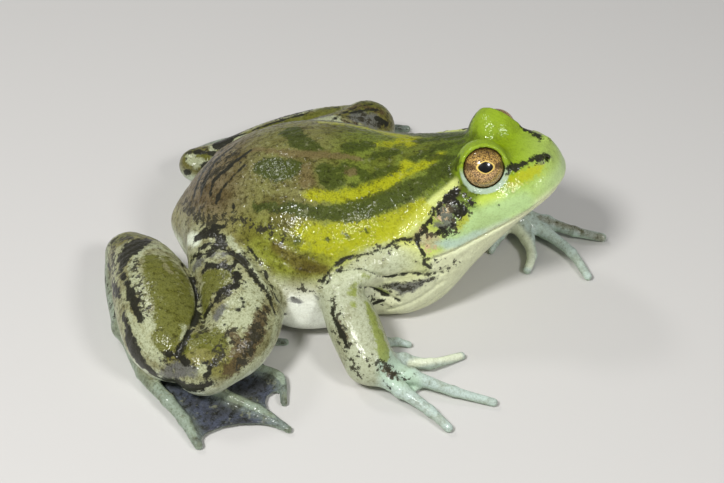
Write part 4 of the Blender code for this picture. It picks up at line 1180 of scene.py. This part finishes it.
# Soft patches laid over those: the colour, how softly it ends, then the stroke. Both sides have them
WASHES = {
    "brow": ("brow green", 2.5, ((36, -13, 48, 5), (42, -9, 47.5, 2))),
    "dome": ("brow green", 2.5, ((35, -5, 51.5, 4.5), (40, -6, 51, 4))),
    "lip": ("mint", 2.0, ((28, -21.5, 27, 0.7), (36, -19.5, 29.5, 0.8), (44, -17, 33.5, 0.2))),
    "under eye": ("eye green", 2.0, ((37, -15.5, 38.5, 0.8), (42, -14.5, 39, 0.6))),
    "lower cheek": (
        "cheek mint", 3.5, ((30, -20.5, 31, 1.2), (38, -17.5, 33.5, 1.6), (48, -13.5, 37.5, 1.6)),
    ),
    "jaw": ("throat", 3.0, ((26, -22, 21, 2.5), (42, -16, 28, 2), (54, -10, 35, 1.5))),
    "behind ear": ("ear cream", 2.0, ((20, -21.5, 29, 1), (23, -20, 27, 1.5))),
    "ridge": ("ridge yellow", 1.5, ((29, -11.5, 41, 0.8), (25, -14.5, 38, 1.0), (16, -21, 31, 1.6))),
    "knee": ("leg olive", 3.0, ((-42, -62, 17, 3), (-30, -63, 16, 3))),
    "heel": ("leg olive", 3.0, ((-68, -16, 14, 2), (-63, -13, 14, 2))),
    "wrist": ("mint", 3.0, ((12, -52, 7, 3), (18, -54, 4, 3))),
    "heel top": ("leg olive", 2.0, ((-68, -17, 17, 1.5), (-60, -16, 18.5, 1.5))),
    "low flank": (
        "flank shade", 2.5, ((-20, -29.5, 29.5, 0.5), (-12, -33, 26.5, 1.0), (-6, -33.2, 25, 0.3)),
    ),
    "rump side": ("groin", 2.0, ((-47, -17, 20, 1.0), (-43, -21, 21, 1.0))),
}

# The same, in one place only
LONE_WASHES = {
    "left thigh": ("leg olive", 3.0, ((-26, 40, 20, 2), (-8, 46, 22, 3))),
    "left shank": ("leg olive", 3.0, ((-45, 34, 15, 1.5), (-20, 45, 20, 3))),
    # painted light: lightens the left hand where the head's shadow falls on it
    "left hand": ("finger pale and painted light", 2.0, ((46, 13, 6, 2), (52, 7, 4, 1), (53, 0, 2.5, 1))),
    "left outer finger": ("finger dark", 1.5, ((56, 17, 6, 0.5), (66.5, 16, 4, 0.5), (75, 14, 2, 0.5))),
    # partly painted highlight: the inner right finger lightened where it catches the light
    "right inner finger": (
        "finger pale and painted light", 1.5, ((20, -47.5, 4, 0.5), (25, -45.5, 4, 0.5), (33, -41, 2, 0.5)),
    ),
}

BACK_TO_FLANK = (0.10, 0.32)  # where each pair of bands meets, over the body's height, from the top down
FLANK_TO_BELLY = (0.42, 0.64)
BELOW_TO_ABOVE = (-0.5, 0.3)  # the same on limbs, over how far the skin faces up
PART_SOFTNESS = 0.7  # how softly the colours of two parts meet
LOWER_LID = math.radians(7.0)
LID_REACH = 2.0
LID_EDGE = 0.08
LID_FADE = (0.15, -0.35)  # where the lower lid starts and where it is full, over the eye's radius


def blended(first, second, amount):
    return first + (second - first) * np.clip(amount, 0.0, 1.0)[:, None]


def torso_colours(points):
    table = smooth_table(TORSO, points[:, 0])
    drop = (table[:, 0] - points[:, 2]) / (table[:, 0] - table[:, 2])
    bands = []
    for band in (1, 2, 3):
        rows = [(row[0], *COLOURS[row[band]]) for row in TORSO_COLOURS]
        bands.append(smooth_table(rows, points[:, 0]))
    back, flank, belly = bands
    upper = blended(back, flank, ramp(drop, *BACK_TO_FLANK))
    return blended(upper, belly, ramp(drop, *FLANK_TO_BELLY))


def part_colours(skin, part):
    if part == "torso":
        return torso_colours(skin.points)
    limb = part.rsplit("_", 1)[0]
    limb = "finger" if limb.startswith("finger") else limb
    above, below = (np.array([COLOURS[name]]) for name in LIMB_COLOURS[limb])
    return blended(below, above, ramp(skin.normals[:, 2], *BELOW_TO_ABOVE))


def lid_amount(skin, eye):
    """How much each point belongs to the pale lower lid of an eye."""
    forward, aside = along_and_aside(*skin.points.T, eye.centre, eye.ahead)
    angle = np.arctan2(aside, forward)
    level = (skin.points - eye.centre) @ eye.up
    near = np.linalg.norm(skin.points - eye.centre, axis=1) < eye.radius + LID_REACH
    edge = LID_OPENING + LOWER_LID
    band = ramp(angle, edge, edge - LID_EDGE)
    return near * band * ramp(level / eye.radius, *LID_FADE)


def blended_parts(skin):
    """The colours of all parts, each weighing more the nearer it is."""
    total = np.zeros((len(skin.points), 4))
    weights = np.zeros(len(skin.points))
    for part, distance in skin.parts.items():
        weight = np.exp(-(distance - skin.nearest) / PART_SOFTNESS)
        total += weight[:, None] * part_colours(skin, part)
        weights += weight
    return total / weights[:, None]


def keep_base_colour(skin, eyes):
    """Gives each vertex its colour without marks, and how strongly it is mottled."""
    colour = blended_parts(skin)
    for washes, both_sides in ((WASHES, True), (LONE_WASHES, False)):
        for name, softness, rows in washes.values():
            distance = skin.stroke_distance(rows, both_sides)
            colour = blended(colour, np.array(COLOURS[name]), smooth_step(1.0 - distance / softness))
    for eye in eyes:
        colour = blended(colour, np.array(COLOURS["lid pale"]), lid_amount(skin, eye))
    skin.keep("base", "FLOAT_COLOR", np.column_stack([colour[:, :3], np.ones(len(colour))]))
    skin.keep("mottling", "FLOAT", colour[:, 3])


# ---- Materials

class Shader:
    """A new material, and short ways to add nodes to it."""

    def __init__(self, name):
        self.material = bpy.data.materials.new(name)
        self.material.use_nodes = True
        self.tree = self.material.node_tree
        self.surface = self.tree.nodes["Principled BSDF"]

    def node(self, kind, **settings):
        made = self.tree.nodes.new(kind)
        for name, value in settings.items():
            setattr(made, name, value)
        return made

    def link(self, source, target):
        self.tree.links.new(source, target)

    def set(self, **values):
        for name, value in values.items():
            self.surface.inputs[name.replace("_", " ")].default_value = value

    def feed(self, socket, value):
        if isinstance(value, bpy.types.NodeSocket):
            self.link(value, socket)
        elif isinstance(value, tuple):
            socket.default_value = (*value, 1.0)
        else:
            socket.default_value = value

    def math(self, operation, *values):
        made = self.node("ShaderNodeMath", operation=operation)
        for socket, value in zip(made.inputs, values):
            self.feed(socket, value)
        return made.outputs[0]

    def remap(self, value, low, high, to_low=0.0, to_high=1.0):
        made = self.node("ShaderNodeMapRange", interpolation_type="SMOOTHSTEP")
        self.feed(made.inputs["Value"], value)
        ends = {"From Min": low, "From Max": high, "To Min": to_low, "To Max": to_high}
        for name, number in ends.items():
            made.inputs[name].default_value = number
        return made.outputs["Result"]

    def mix(self, first, second, amount, blend="MIX"):
        made = self.node("ShaderNodeMix", data_type="RGBA", blend_type=blend)
        self.feed(made.inputs["Factor"], amount)
        self.feed(made.inputs[6], first)
        self.feed(made.inputs[7], second)
        return made.outputs[2]

    def noise(self, scale, detail, roughness, where):
        made = self.node("ShaderNodeTexNoise")
        made.inputs["Scale"].default_value = scale
        made.inputs["Detail"].default_value = detail
        made.inputs["Roughness"].default_value = roughness
        self.link(where, made.inputs["Vector"])
        return made.outputs["Fac"]

    def pebbles(self, scale, where):
        made = self.node("ShaderNodeTexVoronoi", feature="SMOOTH_F1")
        made.inputs["Scale"].default_value = scale
        made.inputs["Smoothness"].default_value = 0.5
        self.link(where, made.inputs["Vector"])
        return self.math("SUBTRACT", 1.0, made.outputs["Distance"])

    def where(self):
        return self.node("ShaderNodeTexCoord").outputs["Object"]

    def attribute(self, name, output="Fac"):
        return self.node("ShaderNodeAttribute", attribute_name=name).outputs[output]

    def bump(self, height, strength, distance):
        made = self.node("ShaderNodeBump")
        made.inputs["Strength"].default_value = strength
        made.inputs["Distance"].default_value = distance
        self.link(height, made.inputs["Height"])
        self.link(made.outputs["Normal"], self.surface.inputs["Normal"])
        self.link(made.outputs["Normal"], self.surface.inputs["Coat Normal"])


# Colour, softness of the edge and raggedness in millimetres, and strength
MARK_LOOKS = {
    "yellow": ((0.42, 0.43, 0.006), 1.2, 2.0, 0.8),
    "dark_green": ((0.050, 0.068, 0.008), 0.6, 1.7, 0.9),
    "tan": ((0.17, 0.13, 0.05), 0.6, 1.3, 0.8),
    "olive": ((0.13, 0.135, 0.018), 0.6, 1.6, 0.92),
    "moss": ((0.25, 0.30, 0.045), 0.6, 1.2, 0.85),
    "cream": ((0.46, 0.49, 0.31), 0.6, 1.5, 0.85),
    "grey": ((0.13, 0.13, 0.125), 0.8, 1.5, 0.88),
    "brown": ((0.095, 0.062, 0.026), 0.5, 2.0, 0.88),
    "mint": ((0.42, 0.56, 0.44), 1.2, 0.8, 0.8),
    # blotch and black also carry painted shade, as dark lines along several creases
    "blotch": ((0.016, 0.015, 0.009), 0.3, 1.5, 0.97),
    "black": ((0.020, 0.020, 0.012), 0.25, 0.8, 0.97),
}
# Marks made of specks, which thin out at their edges: colour and strength
SPECK_LOOKS = {
    "fleck": ((0.62, 0.46, 0.26), 0.9),
    "spatter": ((0.035, 0.032, 0.018), 0.92),
}
RAGGED_REACH = 5.0  # how far the noise moves the edge of a mark whose raggedness is 1
SPECKS_THIN_OUT = 0.05  # for each millimetre outwards
SPECK_EDGE = (0.52, 0.57)

# Scale per metre, detail and roughness of the skin's noises, from the broadest to the finest
SKIN_NOISES = {
    "clouds": (130.0, 3.0, 0.55),
    "edges": (360.0, 8.0, 0.72),
    "freckles": (520.0, 9.0, 0.82),
    "specks": (620.0, 6.0, 0.68),
    "grain": (2100.0, 3.0, 0.6),
}
# Patterns over the skin: noise, where it starts, where it is full, its strength there, tint, way of mixing
CLOUDS = ("clouds", 0.45, 0.62, 1.0, (0.62, 0.57, 0.45), "MULTIPLY")
SPECKS = ("specks", 0.52, 0.64, 0.75, (0.22, 0.19, 0.10), "MULTIPLY")
FRECKLES = ("freckles", 0.52, 0.60, 1.0, (0.38, 0.36, 0.22), "MULTIPLY")
# pale granules of the skin, and painted glints of its wetness: pale dots mixed over the colour
PALE_DOTS_AND_GLINTS = ("edges", -0.06, -0.16, 0.35, (0.42, 0.43, 0.24), "MIX")
GRAIN = ("grain", 0.42, 0.72, 1.0, (0.50, 0.50, 0.42), "MULTIPLY")
GRAIN_EVERYWHERE = 0.12
GRAIN_IN_MOTTLING = 0.8
NOISE_RANGE = (0.3, 0.7)  # holds nearly every value of a noise
SKIN_ROUGHNESS = (0.36, 0.55)
SKIN_PEBBLES = 1500.0  # per metre


def with_mark(shader, colour, noises, name):
    """The colour with the marks of this name over it."""
    distance = shader.attribute(name)
    if name in MARK_LOOKS:
        tint, softness, raggedness, strength = MARK_LOOKS[name]
        edge = shader.math("MULTIPLY_ADD", noises["edges"], RAGGED_REACH * raggedness, distance)
        amount = shader.remap(edge, -softness, softness, strength, 0.0)
    else:
        tint, strength = SPECK_LOOKS[name]
        cover = shader.math("MULTIPLY_ADD", distance, -SPECKS_THIN_OUT, noises["specks"])
        amount = shader.remap(cover, *SPECK_EDGE, 0.0, strength)
    return shader.mix(colour, tint, amount)


def with_pattern(shader, colour, noises, mottling, pattern):
    """The colour with a fine pattern over it, as strong as the skin is mottled there."""
    name, start, full, strength, tint, blend = pattern
    amount = shader.math("MULTIPLY", shader.remap(noises[name], start, full, 0.0, strength), mottling)
    return shader.mix(colour, tint, amount, blend)


def skin_colour(shader, noises):
    """The base colour with its patterns and, between them, the marks."""
    mottling = shader.attribute("mottling")
    colour = shader.attribute("base", "Color")
    for pattern in (CLOUDS, SPECKS):
        colour = with_pattern(shader, colour, noises, mottling, pattern)
    for name in SOFT_MARKS:
        colour = with_mark(shader, colour, noises, name)
    # pale granules and painted glints, laid before the dark marks
    for pattern in (FRECKLES, PALE_DOTS_AND_GLINTS):
        colour = with_pattern(shader, colour, noises, mottling, pattern)
    for name in DARK_MARKS:
        colour = with_mark(shader, colour, noises, name)
    grained = shader.math("MULTIPLY_ADD", mottling, GRAIN_IN_MOTTLING, GRAIN_EVERYWHERE)
    return with_pattern(shader, colour, noises, grained, GRAIN)


def skin_material():
    """Wet skin: a rough base under a clear coat, with fine pebbles."""
    shader = Shader("skin")
    where = shader.where()
    noises = {name: shader.noise(*settings, where) for name, settings in SKIN_NOISES.items()}
    noises["edges"] = shader.math("SUBTRACT", noises["edges"], 0.5)
    shader.link(skin_colour(shader, noises), shader.surface.inputs["Base Color"])
    roughness = shader.remap(noises["specks"], *NOISE_RANGE, *SKIN_ROUGHNESS)
    shader.link(roughness, shader.surface.inputs["Roughness"])
    shader.set(Coat_Weight=0.4, Coat_Roughness=0.07, Specular_IOR_Level=0.1)
    height = shader.math("MULTIPLY_ADD", noises["grain"], 0.3, shader.pebbles(SKIN_PEBBLES, where))
    shader.bump(height, strength=0.32, distance=0.0003)
    return shader.material


# ---- Eyes

IRIS_GOLD = (0.60, 0.37, 0.09)
IRIS_LOW = (0.70, 0.43, 0.17)
IRIS_RING = (0.85, 0.62, 0.16)
IRIS_DARK = (0.045, 0.022, 0.008)
PUPIL_BLACK = (0.002, 0.002, 0.002)
PUPIL_RAISED = 0.13  # over the middle of the iris, as a share of the eye's radius
PUPIL_HALF_WIDTH = 0.315
PUPIL_HALF_HEIGHT = 0.235
PUPIL_POWERS = (1.35, 1.9)  # of its outline, across and up: at 1 a diamond, at 2 an oval
WEDGE_SLOPE = 0.38
IRIS_ROUGHNESS = (0.28, 0.42)
CORNEA_BULGE = 0.07
EYE_INSET = 0.05  # how much smaller than the CAD model's eye this one is, but for its two poles

# Ramps over the iris: where each starts and ends, and its amount there when that isn't 0 and 1
GOLD_BY_LEVEL = (-0.1, 0.5)
STIPPLE = (0.48, 0.54, 0.0, 0.94)
VEINS = (0.46, 0.60)
VEINS_BY_LEVEL = (-0.1, 0.6, 0.1, 0.8)
DARK_TOP = (0.45, 0.85, 0.0, 0.75)
DARK_WEDGES = (-0.05, 0.45, 0.0, 0.75)
# painted shadow: the iris darkens in a ring at the edge of the lids' opening, where the lids shade the eye
LID_SHADOW_RING = (0.80, 0.88, 0.0, 0.95)
PUPIL_RING = (1.55, 1.35, 0.0, 0.95)
PUPIL_EDGE = (1.12, 1.02)


def iris_colour(shader, level, veins, where):
    """Gold with dark stipples, and with dark veins that grow towards the dark top."""
    stipple = shader.noise(scale=3000.0, detail=4.0, roughness=0.75, where=where)
    colour = shader.mix(IRIS_LOW, IRIS_GOLD, shader.remap(level, *GOLD_BY_LEVEL))
    colour = shader.mix(colour, IRIS_DARK, shader.remap(stipple, *STIPPLE))
    veined = shader.remap(level, *VEINS_BY_LEVEL)
    veined = shader.math("MULTIPLY", shader.remap(veins, *VEINS), veined)
    colour = shader.mix(colour, IRIS_DARK, veined)
    return shader.mix(colour, IRIS_DARK, shader.remap(level, *DARK_TOP))


def with_pupil(shader, colour, across, level):
    """The colour with a painted lid shadow in a ring at the iris's edge, dark wedges beside the pupil, and
    the pupil in its gold ring.
    """
    raised = shader.math("SUBTRACT", level, PUPIL_RAISED)
    wide = shader.math("ABSOLUTE", shader.math("DIVIDE", across, PUPIL_HALF_WIDTH))
    tall = shader.math("ABSOLUTE", shader.math("DIVIDE", raised, PUPIL_HALF_HEIGHT))
    wedge = shader.math("MULTIPLY_ADD", wide, WEDGE_SLOPE, shader.math("MULTIPLY", tall, -1.0))
    colour = shader.mix(colour, IRIS_DARK, shader.remap(wedge, *DARK_WEDGES))
    # the painted lid shadow is a ring at this distance from the eye's axis
    rim = shader.math("MULTIPLY_ADD", across, across, shader.math("MULTIPLY", level, level))
    rim = shader.math("SQRT", rim)
    colour = shader.mix(colour, IRIS_DARK, shader.remap(rim, *LID_SHADOW_RING))
    wide, tall = (shader.math("POWER", *pair) for pair in zip((wide, tall), PUPIL_POWERS))
    diamond = shader.math("ADD", wide, tall)
    colour = shader.mix(colour, IRIS_RING, shader.remap(diamond, *PUPIL_RING))
    return shader.mix(colour, PUPIL_BLACK, shader.remap(diamond, *PUPIL_EDGE))


def eye_material(size):
    """Iris and pupil under a clear coat, in the eye's axes: x to its side, y up, z the way it looks."""
    shader = Shader("eye")
    where = shader.where()
    axes = shader.node("ShaderNodeSeparateXYZ")
    shader.link(where, axes.inputs[0])
    across, level = (shader.math("DIVIDE", output, size) for output in axes.outputs[:2])
    veins = shader.noise(scale=1500.0, detail=5.0, roughness=0.75, where=where)
    colour = iris_colour(shader, level, veins, where)
    colour = with_pupil(shader, colour, across, level)
    shader.link(colour, shader.surface.inputs["Base Color"])
    roughness = shader.remap(veins, *NOISE_RANGE, *IRIS_ROUGHNESS)
    shader.link(roughness, shader.surface.inputs["Roughness"])
    shader.set(Coat_Weight=1.0, Coat_Roughness=0.02, Specular_IOR_Level=0.2)
    shader.bump(veins, strength=0.08, distance=0.0001)
    return shader.material


def eye_points(eye, rings, around):
    """Points of a ball with a slightly bulging cornea: rings from front to back, then both poles."""
    angles = np.linspace(0.0, math.pi, rings + 1)[1:-1, None]
    turns = np.linspace(0.0, 2 * math.pi, around, endpoint=False)[None, :]
    bulge = 1.0 + CORNEA_BULGE * smooth_step((LID_OPENING - angles) / LID_OPENING)
    radius = (eye.radius - EYE_INSET) * MM * bulge
    x = radius * np.sin(angles) * np.cos(turns)
    y = radius * np.sin(angles) * np.sin(turns)
    z = radius * np.cos(angles) * np.ones(around)
    front = (0.0, 0.0, eye.radius * MM * (1.0 + CORNEA_BULGE))
    back = (0.0, 0.0, -eye.radius * MM)
    return np.vstack([np.stack([x, y, z], axis=-1).reshape(-1, 3), front, back])


def ball_faces(count, around):
    """Faces of a ball of that many points in rings, with its front and back poles after them."""
    front = count
    back = count + 1
    last_ring = count - around
    faces = []
    for j in range(around):
        k = (j + 1) % around
        faces.append((front, j, k))
        faces.append((back, last_ring + k, last_ring + j))
        for ring_at in range(0, last_ring, around):
            faces.append((ring_at + j, ring_at + around + j, ring_at + around + k, ring_at + k))
    return faces


def eye_ball(eye):
    """The eyeball, its z axis the way the eye looks."""
    rings, around = ((96, 160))
    points = eye_points(eye, rings, around)
    mesh = bpy.data.meshes.new(f"eyeball_{eye.side}")
    mesh.from_pydata(points, [], ball_faces(len(points) - 2, around))
    mesh.shade_smooth()
    obj = bpy.data.objects.new(f"eyeball_{eye.side}", mesh)
    axes = Matrix((eye.level, eye.up, eye.ahead)).transposed()
    obj.matrix_world = Matrix.Translation(Vector(eye.centre * MM)) @ axes.to_4x4()
    return obj


# ---- Stage

CAMERA_AZIMUTH = 5.0
CAMERA_ELEVATION = 41.0
CAMERA_DISTANCE = 0.452
CAMERA_TARGET = Vector((0.0025, -0.0089, 0.015))
LENS_PER_SENSOR = 2.113
WORLD_COLOUR = (0.93, 0.96, 1.0, 1.0)
WORLD_STRENGTH = 0.2
LAMP_TARGET = Vector((0.0, 0.0, 0.02))
# Azimuth and elevation in degrees, distance and size in metres, and power in watts
LAMPS = {
    "key": (-34.0, 54.0, 0.7, 0.15, 3.8),
    "fill": (50.0, 42.0, 0.8, 0.18, 2.3),
    "rim": (-128.0, 48.0, 0.8, 0.14, 1.0),
}
FLOOR_HALF_SIZE = 3.0
FLOOR_DROP = 0.0003  # so that the floor doesn't share a plane with the skin that lies on it
FLOOR_COLOUR = (0.60, 0.585, 0.56, 1.0)


def looking(azimuth, elevation):
    """The direction from the object back to a camera or light at this azimuth and elevation."""
    turn = math.radians(azimuth)
    rise = math.radians(elevation)
    flat = math.cos(rise)
    return Vector((math.sin(turn) * flat, -math.cos(turn) * flat, math.sin(rise)))


def add(obj):
    bpy.context.scene.collection.objects.link(obj)
    return obj


def camera():
    data = bpy.data.cameras.new("camera")
    data.sensor_width = 36.0
    data.lens = LENS_PER_SENSOR * data.sensor_width
    data.clip_start = 0.01
    obj = add(bpy.data.objects.new("camera", data))
    back = looking(CAMERA_AZIMUTH, CAMERA_ELEVATION)
    obj.location = CAMERA_TARGET + back * CAMERA_DISTANCE
    obj.rotation_euler = back.to_track_quat("Z", "Y").to_euler()
    bpy.context.scene.camera = obj


def area_light(name, azimuth, elevation, distance, size, power):
    data = bpy.data.lights.new(name, "AREA")
    data.shape = "DISK"
    data.size = size
    data.energy = power
    obj = add(bpy.data.objects.new(name, data))
    back = looking(azimuth, elevation)
    obj.location = LAMP_TARGET + back * distance
    obj.rotation_euler = back.to_track_quat("Z", "Y").to_euler()


def lights():
    world = bpy.data.worlds.new("studio")
    bpy.context.scene.world = world
    world.use_nodes = True
    background = world.node_tree.nodes["Background"]
    background.inputs["Color"].default_value = WORLD_COLOUR
    background.inputs["Strength"].default_value = WORLD_STRENGTH
    for name, settings in LAMPS.items():
        area_light(name, *settings)


def floor():
    size = FLOOR_HALF_SIZE
    mesh = bpy.data.meshes.new("floor")
    corners = [(-size, -size, 0), (size, -size, 0), (size, size, 0), (-size, size, 0)]
    mesh.from_pydata(corners, [], [(0, 1, 2, 3)])
    obj = add(bpy.data.objects.new("floor", mesh))
    shader = Shader("floor")
    shader.set(Base_Color=FLOOR_COLOUR, Roughness=0.8)
    mesh.materials.append(shader.material)
    obj.location.z = -FLOOR_DROP


# ---- Pieces

def place_skin(eyes):
    mesh, points = skin_mesh(eyes)
    skin = Skin(mesh, points)
    keep_marks(skin)
    keep_base_colour(skin, eyes)
    raise_relief(skin)
    mesh.materials.append(skin_material())
    obj = add(bpy.data.objects.new("skin", mesh))
    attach(obj, "root")
    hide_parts(*(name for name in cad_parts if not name.startswith("eye_")))


def place_eye(eye):
    obj = add(eye_ball(eye))
    obj.data.materials.append(eye_material(eye.radius * MM))
    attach(obj, "root")
    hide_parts(f"eye_{eye.side}")


def build():
    eyes = [Eye(side) for side in LINE_OF_SIGHT]
    place_skin(eyes)
    for eye in eyes:
        place_eye(eye)
    camera()
    lights()
    floor()
    bpy.context.scene.view_settings.view_transform = "Standard"


build()
